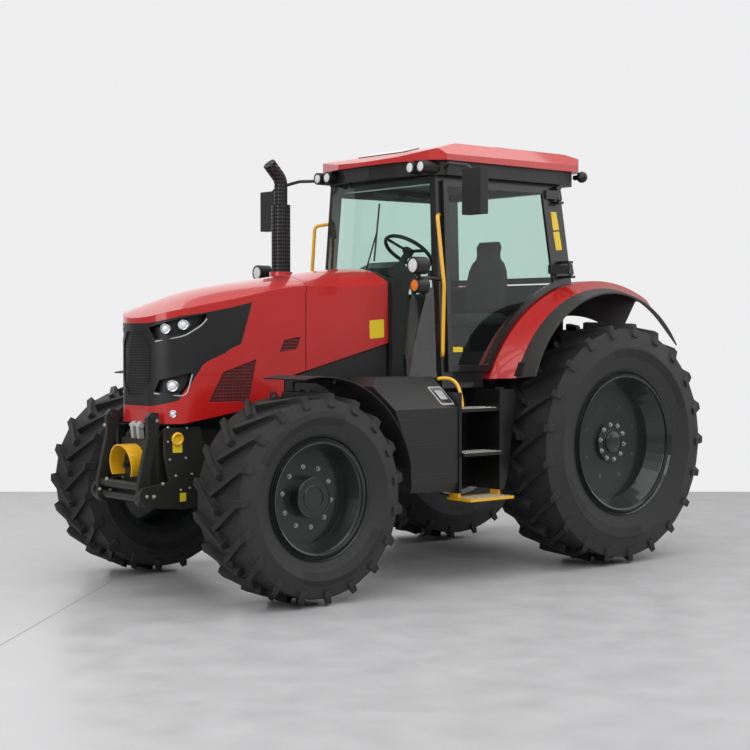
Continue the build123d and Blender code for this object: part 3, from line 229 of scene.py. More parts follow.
def rubber(name, centre_x, centre_z, tread_r, bead_r, dark_band):
    """Tyre rubber: grey walls with fine rings, darker bars, and two plain darker bands on the wall."""
    material, shader = new_material(name)
    tree = material.node_tree
    x, y, z = axes(material)
    dx = math_node(material, "SUBTRACT", x, centre_x)
    dz = math_node(material, "SUBTRACT", z, centre_z)
    radius = math_node(material, "SQRT", math_node(material, "ADD", math_node(material, "MULTIPLY", dx, dx), math_node(material, "MULTIPLY", dz, dz)))
    slow = noise(material, 5.0, 6)
    wall = tint(material, slow, (0.014, 0.014, 0.0145), (0.026, 0.026, 0.027))
    bars = tint(material, slow, (0.006, 0.006, 0.0062), (0.014, 0.014, 0.0145))
    shoulder = step_up(material, radius, tread_r - 0.075, tread_r - 0.045)
    angle = math_node(material, "ARCTAN2", dz, dx)
    twice = math_node(material, "COSINE", math_node(material, "MULTIPLY", math_node(material, "SUBTRACT", angle, dark_band[2]), 2.0))
    inside = math_node(material, "MULTIPLY", step_up(material, radius, dark_band[0], dark_band[0] + 0.004), math_node(material, "SUBTRACT", 1.0, step_up(material, radius, dark_band[1] - 0.004, dark_band[1])))
    band = math_node(material, "MULTIPLY", inside, step_up(material, twice, 0.12, 0.14))
    toned = tree.nodes.new("ShaderNodeMix")
    toned.data_type = "RGBA"
    toned.inputs["B"].default_value = (0.010, 0.010, 0.0105, 1)
    tree.links.new(band, toned.inputs["Factor"])
    tree.links.new(wall, toned.inputs["A"])
    whole = tree.nodes.new("ShaderNodeMix")
    whole.data_type = "RGBA"
    tree.links.new(shoulder, whole.inputs["Factor"])
    tree.links.new(toned.outputs["Result"], whole.inputs["A"])
    tree.links.new(bars, whole.inputs["B"])
    tree.links.new(whole.outputs["Result"], shader.inputs["Base Color"])
    tree.links.new(spread(material, slow, 0.5, 0.68), shader.inputs["Roughness"])
    rings = math_node(material, "SINE", math_node(material, "MULTIPLY", radius, 520.0))
    near_bead = math_node(material, "SUBTRACT", 1.0, step_up(material, radius, bead_r + 0.045, bead_r + 0.06))
    lift = math_node(material, "ADD", math_node(material, "MULTIPLY", rings, near_bead), math_node(material, "MULTIPLY", band, -1.6))
    height = math_node(material, "ADD", lift, math_node(material, "MULTIPLY", noise(material, 260, 5), 0.8))
    grain(material, shader, height, 0.5, 0.0012, 0.009)
    return material


MATERIALS = {
    "red_paint": surface("red_paint", (0.47, 0.010, 0.009), (0.53, 0.014, 0.012), (0.26, 0.34), coat=0.8, scale=700, bump=0.015),
    "black_plastic": surface("black_plastic", (0.007, 0.007, 0.0075), (0.012, 0.012, 0.0125), (0.36, 0.46), scale=400),
    "grey_plastic": surface("grey_plastic", (0.012, 0.012, 0.0125), (0.020, 0.020, 0.021), (0.42, 0.52), scale=520, bump=0.22),
    "grey_metal": surface("grey_metal", (0.020, 0.021, 0.019), (0.032, 0.033, 0.030), (0.36, 0.46), metal=0.2, scale=150),
    "chassis_metal": surface("chassis_metal", (0.008, 0.008, 0.008), (0.017, 0.018, 0.018), (0.5, 0.66), scale=90, bump=0.4),
    "black_paint": surface("black_paint", (0.006, 0.006, 0.0062), (0.010, 0.010, 0.0105), (0.28, 0.36), coat=0.3, scale=500),
    "rim_paint": surface("rim_paint", (0.020, 0.025, 0.023), (0.030, 0.036, 0.034), (0.28, 0.36), metal=0.4, coat=0.5, scale=300, bump=0.05),
    "tyre": surface("tyre", (0.016, 0.016, 0.016), (0.028, 0.028, 0.029), (0.62, 0.75), scale=300, bump=0.25),
    "yellow_paint": surface("yellow_paint", (0.82, 0.42, 0.006), (0.88, 0.48, 0.010), (0.3, 0.36), coat=0.6, scale=500, bump=0.03),
    "steel": surface("steel", (0.25, 0.25, 0.25), (0.38, 0.38, 0.38), (0.26, 0.38), metal=0.9, scale=200),
    "seat_fabric": surface("seat_fabric", (0.016, 0.017, 0.018), (0.034, 0.035, 0.037), (0.8, 0.9), scale=900, bump=0.5),
    "lamp": surface("lamp", (0.62, 0.65, 0.68), (0.78, 0.80, 0.82), (0.06, 0.12), coat=1.0, scale=140, bump=0.12),
    "glass": glass_material("glass", (0.84, 0.92, 0.89), True),
}
FRONT_AXLE_Z = 0.7127
REAR_AXLE_X = FRONT_AXLE_X - WHEELBASE
REAR_AXLE_Z = 0.9468
TYRE_FRONT = rubber("tyre_front_rubber", FRONT_AXLE_X, FRONT_AXLE_Z, 0.713, 0.41, (0.485, 0.575, math.radians(68)))
TYRE_REAR = rubber("tyre_rear_rubber", REAR_AXLE_X, REAR_AXLE_Z, 0.947, 0.56, (0.66, 0.745, math.radians(118)))
MATT_BLACK = surface("fender_black", (0.007, 0.007, 0.0073), (0.012, 0.012, 0.0125), (0.55, 0.68), scale=300, bump=0.2)
FENDER_GREY = surface("fender_grey", (0.034, 0.033, 0.032), (0.044, 0.043, 0.042), (0.52, 0.62), scale=420, bump=0.12)
# The second colour of each perforated sheet is the painted shade of its holes.
MESH_RED = perforated("grille_red", "side", (0.16, 0.010, 0.011), (0.020, 0.004, 0.004), 0.014, 0.36)
MESH_BLACK = perforated("grille_black", "front", (0.014, 0.014, 0.015), (0.001, 0.001, 0.001), 0.011, 0.34)
STACK = perforated("stack_shield", "round", (0.018, 0.018, 0.019), (0.0015, 0.0015, 0.0015), 0.017, 0.33, rough=0.3)
CHROME = surface("chrome", (0.55, 0.56, 0.57), (0.68, 0.69, 0.70), (0.08, 0.14), metal=1.0, scale=80, bump=0.02)
BOLT_ZINC = surface("bolt_zinc", (0.42, 0.41, 0.38), (0.58, 0.57, 0.53), (0.24, 0.36), metal=0.9, scale=260, bump=0.1, edge=0.001)
# Dark gloss for the tank panel, roof hatch and armrest screen, and painted shade on the wheels' dish-hole discs.
DARK_GLOSS_AND_HOLE_SHADE = surface("dark_gloss_and_hole_shade", (0.02, 0.022, 0.025), (0.05, 0.055, 0.06), (0.04, 0.08), coat=1.0, scale=60, bump=0.05, edge=0.001)
LENS_CLEAR = surface("lens_clear", (0.70, 0.73, 0.75), (0.86, 0.88, 0.89), (0.05, 0.1), coat=1.0, scale=120, bump=0.2, edge=0.001)
ORANGE = surface("lens_orange", (0.85, 0.18, 0.01), (0.92, 0.26, 0.02), (0.08, 0.14), coat=1.0, scale=160, bump=0.2, edge=0.001)
LENS_RED = surface("lens_red", (0.42, 0.005, 0.005), (0.55, 0.012, 0.01), (0.08, 0.14), coat=1.0, scale=160, bump=0.2, edge=0.001)
PALE = surface("pale_trim", (0.36, 0.37, 0.37), (0.46, 0.47, 0.47), (0.3, 0.4), scale=300, bump=0.08, edge=0.001)
WHITE_PLATE = surface("white_plate", (0.66, 0.66, 0.65), (0.76, 0.76, 0.75), (0.35, 0.45), scale=300, bump=0.04, edge=0.001)
YELLOW_PLATE = surface("yellow_plate", (0.80, 0.56, 0.02), (0.88, 0.64, 0.03), (0.35, 0.45), scale=300, bump=0.04, edge=0.001)
MIRROR_GLASS = surface("mirror_glass", (0.80, 0.82, 0.83), (0.86, 0.87, 0.88), (0.02, 0.03), metal=1.0, scale=4, bump=0.0, edge=0)
ROUNDED_NODES = {
    "roof_cap": 0.028, "roof_band": 0.012, "fuel_tank": 0.022, "battery_box": 0.022, "mirrors": 0.02, "dashboard": 0.02,
    "seat_base": 0.015, "lower_treads": 0.006, "work_lamps": 0.004, "fender_extensions": 0.004, "cab_frame": 0.006,
    "front_linkage_frame": 0.005, "front_lift_arms": 0.008, "steps": 0.003,
}
OVERRIDES = {
    "tyre_front_left": TYRE_FRONT, "tyre_front_right": TYRE_FRONT, "tyre_rear_left": TYRE_REAR, "tyre_rear_right": TYRE_REAR,
    "front_fender_left": MATT_BLACK, "front_fender_right": MATT_BLACK, "fender_extensions": FENDER_GREY,
    "bonnet_grilles": MESH_RED, "exhaust_stack": STACK,
}


def dress_frame():
    """Every CAD node takes the material of its slot."""
    for part in frame["record"]["subparts"]:
        node = frame["nodes"][part["node"]]
        if part["node"] in ROUNDED_NODES:
            rounding = node.modifiers.new("rounding", "BEVEL")
            rounding.width = ROUNDED_NODES[part["node"]]
            rounding.segments = 3
            rounding.limit_method = "ANGLE"
            rounding.angle_limit = math.radians(24)
            rounding.harden_normals = True
        node.data.materials.clear()
        node.data.materials.append(OVERRIDES.get(part["node"], MATERIALS[part["material_slot"]]))


def plane(name, centre, across, along, material):
    """A flat rectangle spanned by two half vectors about its centre."""
    mesh = bpy.data.meshes.new(name)
    corners = [centre - across - along, centre + across - along, centre + across + along, centre - across + along]
    mesh.from_pydata([tuple(c) for c in corners], [], [(0, 1, 2, 3)])
    mesh.materials.append(material)
    obj = bpy.data.objects.new(name, mesh)
    bpy.context.scene.collection.objects.link(obj)
    return obj


def build_stage():
    """Concrete that ends where the photograph's floor meets its pale wall."""
    concrete = surface("concrete", (0.46, 0.46, 0.47), (0.53, 0.53, 0.54), (0.3, 0.45), scale=14, bump=0.08, edge=0)
    look = Vector((CAMERA_LOOK.x, CAMERA_LOOK.y, 0)).normalized()
    side = Vector((-look.y, look.x, 0))
    middle = look * (FLOOR_BEHIND - FLOOR_BEFORE) / 2
    along = look * (FLOOR_BEHIND + FLOOR_BEFORE) / 2
    joint = surface("floor_joint", (0.20, 0.20, 0.20), (0.26, 0.26, 0.26), (0.6, 0.7), scale=30, edge=0)
    start, end = Vector((4.412, 1.604, 0.0006)), Vector((2.094, -0.624, 0.0006))
    run = (end - start) / 2
    thin = Vector((-run.y, run.x, 0)).normalized() * 0.003
    plane("floor", middle, along, side * FLOOR_REACH, concrete)
    plane("floor_seam", (start + end) / 2, run, thin, joint)


def soft_light(name, at, target, width, height, power):
    light = bpy.data.lights.new(name, "AREA")
    light.shape = "RECTANGLE"
    light.size = width
    light.size_y = height
    light.energy = power
    obj = bpy.data.objects.new(name, light)
    obj.location = at
    obj.rotation_euler = (Vector(target) - Vector(at)).to_track_quat("-Z", "Y").to_euler()
    bpy.context.scene.collection.objects.link(obj)


def build_lights():
    soft_light("top", (0.5, 1.0, 9.0), (0, 0, 1.2), 17, 12, 900)
    soft_light("key", (3.5, 8.5, 6.5), (0, 0, 1.4), 8, 4, 300)
    soft_light("front", (10, 2, 4.5), (0.5, 0, 1.2), 5, 6, 240)
    soft_light("rear", (-8, 4, 5), (-1, 0, 1.2), 9, 7, 210)
    soft_light("far", (-2, -9, 5), (-0.5, 0, 1.2), 14, 8, 260)
    build_world()


def build_world():
    """Even light, and a pale wall for what the camera and glass see."""
    world = bpy.data.worlds.new("studio")
    bpy.context.scene.world = world
    world.use_nodes = True
    tree = world.node_tree
    light = tree.nodes["Background"]
    light.inputs["Color"].default_value = (1, 1, 1, 1)
    light.inputs["Strength"].default_value = AMBIENT
    wall = tree.nodes.new("ShaderNodeBackground")
    wall.inputs["Color"].default_value = WALL_COLOUR
    wall.inputs["Strength"].default_value = 1
    path = tree.nodes.new("ShaderNodeLightPath")
    seen = tree.nodes.new("ShaderNodeMath")
    seen.operation = "MAXIMUM"
    tree.links.new(path.outputs["Is Camera Ray"], seen.inputs[0])
    tree.links.new(path.outputs["Is Transmission Ray"], seen.inputs[1])
    mix = tree.nodes.new("ShaderNodeMixShader")
    tree.links.new(seen.outputs[0], mix.inputs["Fac"])
    tree.links.new(light.outputs[0], mix.inputs[1])
    tree.links.new(wall.outputs[0], mix.inputs[2])
    tree.links.new(mix.outputs[0], tree.nodes["World Output"].inputs["Surface"])


def build_camera():
    camera = bpy.data.cameras.new("camera")
    camera.lens = CAMERA_LENS
    camera.sensor_width = 36
    camera.clip_end = 200
    obj = bpy.data.objects.new("camera", camera)
    obj.location = CAMERA_AT
    obj.rotation_euler = CAMERA_LOOK.to_track_quat("-Z", "Y").to_euler()
    bpy.context.scene.collection.objects.link(obj)
    bpy.context.scene.camera = obj
    bpy.context.scene.view_settings.view_transform = "Standard"


FOCAL_PX = 1550
MIDDLE_PX = 375


def at(x, y, z):
    """A place given in millimetres ahead of the front axle, as a point of the row frame."""
    return Vector((FRONT_AXLE_X + x / 1000, y / 1000, z / 1000))


def drop(nodes, start, direction):
    """Where a straight line first meets one of the CAD nodes: place, the normal that faces it, and the node."""
    direction = direction.normalized()
    best = None
    for name in nodes:
        found, place, normal, _ = frame["nodes"][name].ray_cast(start, direction)
        if found and (best is None or (place - start).length < (best[0] - start).length):
            best = (place, normal if normal.dot(direction) < 0 else -normal, name)
    return best


def hit(nodes, u, v):
    """Where the photograph's pixel meets one of the CAD nodes."""
    look = CAMERA_LOOK.normalized()
    right = look.cross(Vector((0, 0, 1))).normalized()
    up = right.cross(look)
    return drop(nodes, CAMERA_AT, look + right * (u - MIDDLE_PX) / FOCAL_PX + up * (MIDDLE_PX - v) / FOCAL_PX)


def piece(name, bm, body, material, smooth=35):
    """A finished mesh of the scene, riding on its body."""
    bmesh.ops.recalc_face_normals(bm, faces=bm.faces)
    mesh = bpy.data.meshes.new(name)
    bm.to_mesh(mesh)
    bm.free()
    for face in mesh.polygons:
        face.use_smooth = True
    mesh.set_sharp_from_angle(angle=math.radians(smooth))
    mesh.materials.append(material)
    obj = bpy.data.objects.new(name, mesh)
    bpy.context.scene.collection.objects.link(obj)
    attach(obj, body)
    return obj


def lathe(bm, profile, centre, axis, sides=24, turn=0.0):
    """A turned form of (radius, height) points about an axis through the centre."""
    axis = axis.normalized()
    across = axis.orthogonal().normalized()
    over = axis.cross(across)
    rings = []
    for radius, height in profile:
        if rings and (radius, height) == profile[0]:
            rings.append(rings[0])
            continue
        count = sides if radius > 1e-6 else 1
        ring = []
        for i in range(count):
            a = turn + 2 * math.pi * i / sides
            ring.append(bm.verts.new(centre + axis * height + (across * math.cos(a) + over * math.sin(a)) * radius))
        rings.append(ring)
    for low, high in zip(rings, rings[1:]):
        for i in range(sides):
            j = (i + 1) % sides
            quad = [low[i % len(low)], low[j % len(low)], high[j % len(high)], high[i % len(high)]]
            corners = list(dict.fromkeys(quad))
            if len(corners) > 2:
                bm.faces.new(corners)


def nut(bm, centre, axis, radius, turn=0.3):
    """A washer, a hexagon nut with a turned-down top, and the stud's end."""
    lathe(bm, [(0, -0.001), (1.35 * radius, -0.001), (1.35 * radius, 0.2 * radius), (0, 0.2 * radius)], centre, axis, 20)
    lathe(bm, [(0, 0), (radius, 0), (radius, 0.8 * radius), (0.86 * radius, radius), (0, radius)], centre, axis, 6, turn)
    stud = [(0, 0), (0.5 * radius, 0), (0.5 * radius, 1.3 * radius), (0.4 * radius, 1.42 * radius), (0, 1.42 * radius)]
    lathe(bm, stud, centre, axis, 12)


def rounded(corners, radius, steps=4):
    """A closed line of points with its corners drawn round."""
    out = []
    count = len(corners)
    for i, corner in enumerate(corners):
        before = (corners[i - 1] - corner)
        after = (corners[(i + 1) % count] - corner)
        a = corner + before.normalized() * min(radius, before.length / 2.2)
        b = corner + after.normalized() * min(radius, after.length / 2.2)
        for k in range(steps + 1):
            t = k / steps
            out.append(a * (1 - t) ** 2 + corner * 2 * t * (1 - t) + b * t ** 2)
    return out


def slab(bm, corners, normal, thick, draw=0.25, sunk=0.001):
    """A plate on its corner points, with its upper edges drawn in."""
    middle = sum(corners, Vector()) / len(corners)
    rows = [
        [bm.verts.new(c - normal * sunk) for c in corners],
        [bm.verts.new(c + normal * thick * 0.7) for c in corners],
        [bm.verts.new(c + (middle - c).normalized() * thick * draw + normal * thick) for c in corners],
    ]
    bm.faces.new(rows[0])
    for low, high in zip(rows, rows[1:]):
        for i in range(len(corners)):
            j = (i + 1) % len(corners)
            bm.faces.new([low[i], low[j], high[j], high[i]])
    bm.faces.new(rows[2])


def bar(name, points, radius, body, material, flat=1.0):
    """A smooth round bar along points."""
    curve = bpy.data.curves.new(name, "CURVE")
    curve.dimensions = "3D"
    curve.bevel_depth = radius
    curve.bevel_resolution = 4
    curve.use_fill_caps = True
    spline = curve.splines.new("NURBS")
    spline.points.add(len(points) - 1)
    for target, point in zip(spline.points, points):
        target.co = (*point, 1)
    spline.order_u = 3
    spline.use_endpoint_u = True
    curve.materials.append(material)
    obj = bpy.data.objects.new(name, curve)
    bpy.context.scene.collection.objects.link(obj)
    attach(obj, body)
    return obj


def pixel_plate(name, nodes, pixels, body, material, thick=0.003, radius=0.01, both=False):
    """A plain plate whose corners are pixels of the photograph, on what carries it."""
    found = [hit(nodes, u, v) for u, v in pixels]
    normal = sum((f[1] for f in found), Vector()).normalized()
    corners = rounded([f[0] for f in found], radius)
    bm = bmesh.new()
    slab(bm, corners, normal, thick)
    if both:
        over = Vector((normal.x, -normal.y, normal.z))
        slab(bm, [Vector((c.x, -c.y, c.z)) for c in corners], over, thick)
    return piece(name, bm, body, material)


def side_plate(name, nodes, points, body, material, thick=0.003, radius=0.01):
    """A plain plate on both sides, from (x, z) corners found by looking across the tractor."""
    bm = bmesh.new()
    for side in (1, -1):
        found = [drop(nodes, at(x, side * 1500, z), Vector((0, -side, 0))) for x, z in points]
        normal = sum((f[1] for f in found), Vector()).normalized()
        slab(bm, rounded([f[0] for f in found], radius), normal, thick)
    return piece(name, bm, body, material)


def dress_wheels():
    """Nuts, hub rings, dark discs of painted shade at the dish holes, and rolled ridges of the four wheels."""
    wheels = [
        ("front", FRONT_AXLE_X, FRONT_AXLE_Z, 0.958, 0.072, 0.205, 10, 0.0125, 0.139, 0.150, 0.372),
        ("rear", REAR_AXLE_X, REAR_AXLE_Z, 0.952, 0.110, 0.1375, 10, 0.0140, 0.100, 0.136, 0.520),
    ]
    for label, x, z, track, disc, ring_r, count, nut_r, hub_r, hub_y, well in wheels:
        for hand, side in (("left", 1), ("right", -1)):
            body = "wheel_" + label + "_" + hand
            out = Vector((0, side, 0))
            face = disc if label == "front" else hub_y
            face_at = Vector((x, side * (track + face), z))
            bm = bmesh.new()
            for i in range(count):
                a = 2 * math.pi * (i + 0.25) / count
                nut(bm, face_at + Vector((math.cos(a), 0, math.sin(a))) * ring_r, out, nut_r, 0.2 + a)
            piece(label + "_wheel_nuts_" + hand, bm, body, BOLT_ZINC)
            bm = bmesh.new()
            hub_at = Vector((x, side * (track + hub_y), z))
            for low in (0.995, 0.62):
                r = hub_r * low
                lathe(bm, [(r, -0.002), (r, 0.003), (r - 0.004, 0.006), (r - 0.012, 0.006), (r - 0.014, -0.002), (r, -0.002)], hub_at, out, 48)
            if label == "rear":
                lathe(bm, [(0, -0.002), (0.088, -0.002), (0.086, 0.02), (0.074, 0.03), (0.03, 0.034), (0, 0.034)], hub_at, out, 48)
            for r, y in ((well - 0.006, 0.215), (well - 0.006, 0.125), (well + 0.004, 0.20)):
                lift = y * (1 if label == "front" else 1.22)
                centre = Vector((x, side * (track + lift), z))
                lathe(bm, [(r + 0.01, -0.012), (r - 0.004, -0.006), (r - 0.006, 0), (r - 0.004, 0.006), (r + 0.01, 0.012), (r + 0.01, -0.012)], centre, out, 72)
            piece(label + "_wheel_rings_" + hand, bm, body, MATERIALS["rim_paint"])
            # Painted shade: dark discs on the dish stand for the shade seen through its holes.
            bm = bmesh.new()
            hole_ring = 0.285 if label == "rear" else 0.29
            for i in range(8 if label == "rear" else 4):
                a = 2 * math.pi * (i + 0.5) / (8 if label == "rear" else 4)
                spot = drop(["rim_" + label + "_" + hand], Vector((x, side * (track + 0.4), z)) + Vector((math.cos(a), 0, math.sin(a))) * hole_ring, -out)
                if spot:
                    r = 0.016 if label == "rear" else 0.006
                    lathe(bm, [(0, -0.001), (r, -0.001), (r, 0.0006), (0, 0.0004)], spot[0], out, 20)
            piece(label + "_dish_hole_shade_" + hand, bm, body, DARK_GLOSS_AND_HOLE_SHADE)


CORNER = Vector((0.72, 0.69, 0)).normalized()
NOSE_LAMPS = [((618, 266, 1830), 33), ((520, 337, 1857), 33), ((585, 300, 1444), 38), ((581, 303, 1255), 24)]
HEX_PANEL = [(0, 1807), (94, 1804), (168, 1718), (166, 1487), (91, 1384), (0, 1382)]


def dress_nose():
    """Lamp rings and lenses, the fine mesh of the middle panel, and the pale rims of the lamp recesses."""
    rings = bmesh.new()
    lenses = bmesh.new()
    for side in (1, -1):
        out = Vector((CORNER.x, side * CORNER.y, 0))
        for (x, y, z), radius in NOSE_LAMPS:
            start = at(x, side * y, z) + out * 0.2
            spot = drop(["headlamps"], start, -out)
            if spot is None:
                continue
            r = radius / 1000
            lathe(rings, [(r, -0.004), (r + 0.003, 0.003), (r, 0.007), (r - 0.006, 0.006), (r - 0.008, -0.004), (r, -0.004)], spot[0], out, 40)
            lathe(lenses, [(0, -0.003), (0.74 * r, -0.003), (0.62 * r, 0.005), (0.4 * r, 0.009), (0, 0.011)], spot[0], out, 32)
    piece("nose_lamp_rings", rings, "bonnet", CHROME)
    piece("nose_lamp_lenses", lenses, "bonnet", LENS_CLEAR)
    bm = bmesh.new()
    hexagon = HEX_PANEL + [(-y, z) for y, z in reversed(HEX_PANEL[1:-1])]
    rows = 26
    low, high = 1384, 1806
    grid = []
    for i in range(rows + 1):
        z = low + (high - low) * i / rows
        width = 160 if 1490 < z < 1715 else 160 - (1490 - z) * 0.62 if z <= 1490 else 160 - (z - 1715) * 0.72
        row = []
        for k in range(-8, 9):
            y = width * k / 8
            spot = drop(["nose_mask"], at(1000, y, z), Vector((-1, 0, 0)))
            row.append(bm.verts.new(spot[0] + Vector((0.0012, 0, 0))))
        grid.append(row)
    for below, above in zip(grid, grid[1:]):
        for k in range(16):
            bm.faces.new([below[k], below[k + 1], above[k + 1], above[k]])
    piece("nose_mesh", bm, "bonnet", MESH_BLACK)
    for label, side in (("left", 1), ("right", -1)):
        for name, points, start_y in (
            ("headlamp_rim_", [(352, 375, 1905), (384, 372, 1866), (450, 360, 1826), (509, 345, 1790), (590, 285, 1770), (655, 205, 1752)], 0),
            ("fog_rim_", [(660, 196, 1400), (585, 285, 1390), (506, 352, 1381), (484, 358, 1455), (463, 362, 1530)], 0),
        ):
            path = []
            for x, y, z in points:
                out = Vector((CORNER.x, side * CORNER.y, 0))
                spot = drop(["nose_mask", "bonnet"], at(x, side * y, z - 8) + out * 0.3, -out)
                path.append(spot[0] + out * 0.002)
            bar(name + label, path, 0.005, "bonnet", PALE)


def disc_lamp(bm_ring, bm_lens, centre, axis, radius):
    """A lamp's front: a raised bezel and a slightly crowned lens."""
    lathe(bm_ring, [(radius, -0.01), (radius + 0.002, 0.004), (radius - 0.004, 0.008), (radius - 0.009, 0.006), (radius - 0.01, -0.01), (radius, -0.01)], centre, axis, 40)
    lathe(bm_lens, [(0, -0.008), (radius - 0.009, -0.008), (radius - 0.009, 0.002), (0.6 * radius, 0.005), (0, 0.006)], centre, axis, 40)


def dress_lamps():
    """Bezels and lenses of the work lamps, roof lamps and indicators."""
    ring, lens, orange = bmesh.new(), bmesh.new(), bmesh.new()
    forward = Vector((1, 0, 0))
    for side in (1, -1):
        disc_lamp(ring, lens, at(-1009, side * 947, 2280), forward, 0.058)
        disc_lamp(ring, orange, at(-1040, side * 930, 2140), forward, 0.050)
        for y in (500, 620):
            disc_lamp(ring, lens, at(-1370, side * y, 3030), forward, 0.045)
    piece("lamp_bezels", ring, "chassis", MATERIALS["black_plastic"])
    piece("lamp_lenses", lens, "chassis", LENS_CLEAR)
    piece("indicator_lenses", orange, "chassis", ORANGE)


def dress_body():
    """Blank plates, panel frames and trim on the hood, tank and steps."""
    side_plate("cowl_plates", ["cowl"], [(-1062, 1892), (-1200, 1903), (-1204, 1768), (-1066, 1757)], "chassis", YELLOW_PLATE, 0.002, 0.012)
    for name, low, high, material, thick in (
        ("tank_panel_frame", (-1262, 1282), (-1388, 1408), PALE, 0.004),
        ("tank_panel", (-1272, 1292), (-1378, 1398), DARK_GLOSS_AND_HOLE_SHADE, 0.007),
        ("tank_panel_face", (-1290, 1315), (-1360, 1378), PALE, 0.009),
    ):
        x0, z0 = low
        x1, z1 = high
        side_plate(name, ["fuel_tank", "battery_box"], [(x0, z0), (x1, z0), (x1, z1), (x0, z1)], "chassis", material, thick, 0.014)
    for side, hand in ((1, "left"), (-1, "right")):
        handle = [(-1300, 890, 1470), (-1395, 890, 1478), (-1442, 940, 1440), (-1446, 985, 1340), (-1440, 1000, 1262)]
        bar("tank_handle_" + hand, [at(x, side * y, z) for x, y, z in handle], 0.013, "chassis", MATERIALS["yellow_paint"])
        for k, z in enumerate((1185, 1010, 792)):
            start, end = (-830 - 40 * k, z), (-1225 - 60 * (k // 2), z)
            path = []
            for i in range(7):
                x = start[0] + (end[0] - start[0]) * i / 6
                spot = drop(["fuel_tank", "battery_box"], at(x, side * 1500, z), Vector((0, -side, 0)))
                if spot:
                    path.append(spot[0])
            bar("tank_seam_%d_%s" % (k, hand), path, 0.0035, "chassis", MATERIALS["grey_metal"])
    teeth = bmesh.new()
    for side in (1, -1):
        for z, y_out in ((1225.0, 990.0), (905.0, 1040.0), (581, 1130)):
            for i in range(22):
                x = -1440 - i * (1800 - 1440) / 21
                for row in range(4):
                    lathe(teeth, [(0.0075, -0.001), (0.0062, 0.004), (0.004, 0.0045), (0.0032, -0.001), (0.0075, -0.001)], at(x, side * (y_out - 18 - 55 * row), z + 24), Vector((0, 0, 1)), 8)
    piece("step_studs", teeth, "chassis", BOLT_ZINC)


def dress_glass():
    """Thin blank plates on the door."""
    pixel_plate("door_plate", ["door_glass_left"], [(453, 347), (462.5, 347), (462.5, 352), (453, 352.3)], "door_left", YELLOW_PLATE, 0.002, 0.004)


BOLT_FRONT_LIMIT = 2.412


def dress_linkage():
    """Bolts, blank plates, the clevis and the tow ring of the front linkage."""
    carried = ["front_linkage_frame", "front_lift_arms", "front_frame", "front_axle"]
    fixed, moving = bmesh.new(), bmesh.new()
    for u, v, r in (
        (157, 421, 12), (154, 497, 13), (147, 497, 11), (163, 484, 11), (107, 479, 12), (110, 490, 10), (123, 477, 9),
        (168, 428, 8), (187, 428, 8), (170, 460, 8), (186, 458, 8), (176, 476, 9), (192, 474, 8), (181, 490, 8),
        (105, 425, 11), (100, 489, 10), (140, 492, 10), (176, 424, 7), (168, 442, 7), (190, 488, 7),
    ):
        spot = hit(carried, u, v)
        if spot and spot[0].x < BOLT_FRONT_LIMIT:
            nut(moving if spot[2] == "front_lift_arms" else fixed, spot[0], spot[1], r / 1000, u)
    piece("linkage_bolts", fixed, "chassis", BOLT_ZINC)
    piece("lift_arm_bolts", moving, "front_lift_arms", BOLT_ZINC)
    pixel_plate("linkage_plate", carried, [(172.5, 435), (182, 434.5), (182.3, 452.5), (172.8, 453)], "chassis", YELLOW_PLATE, 0.002, 0.006)
    pixel_plate("linkage_tag", carried, [(180, 493), (186, 492.5), (186, 501), (180, 502)], "chassis", YELLOW_PLATE, 0.002, 0.006)
    bm = bmesh.new()
    for y in (-48, 26):
        corners = [at(652, y + 11, 1070), at(700, y + 11, 1070), at(712, y + 11, 1172), at(690, y + 11, 1200), at(664, y + 11, 1196)]
        slab(bm, rounded(corners, 0.02), Vector((0, 1, 0)), 0.022)
    lathe(bm, [(0, -0.07), (0.014, -0.07), (0.014, 0.06), (0.02, 0.062), (0.02, 0.072), (0, 0.072)], at(686, 0, 1170), Vector((0, 1, 0)), 24)
    piece("linkage_clevis", bm, "chassis", PALE)
    for hand, side in (("left", 1), ("right", -1)):
        bm = bmesh.new()
        centre = at(560, side * 320, 1085)
        loop = [(0.036 + 0.011 * math.cos(k * math.pi / 5), 0.011 * math.sin(k * math.pi / 5) + 0.008) for k in range(10)]
        lathe(bm, loop + [loop[0]], centre, Vector((0, side, 0)), 36)
        piece("tow_ring_" + hand, bm, "chassis", MATERIALS["yellow_paint"])


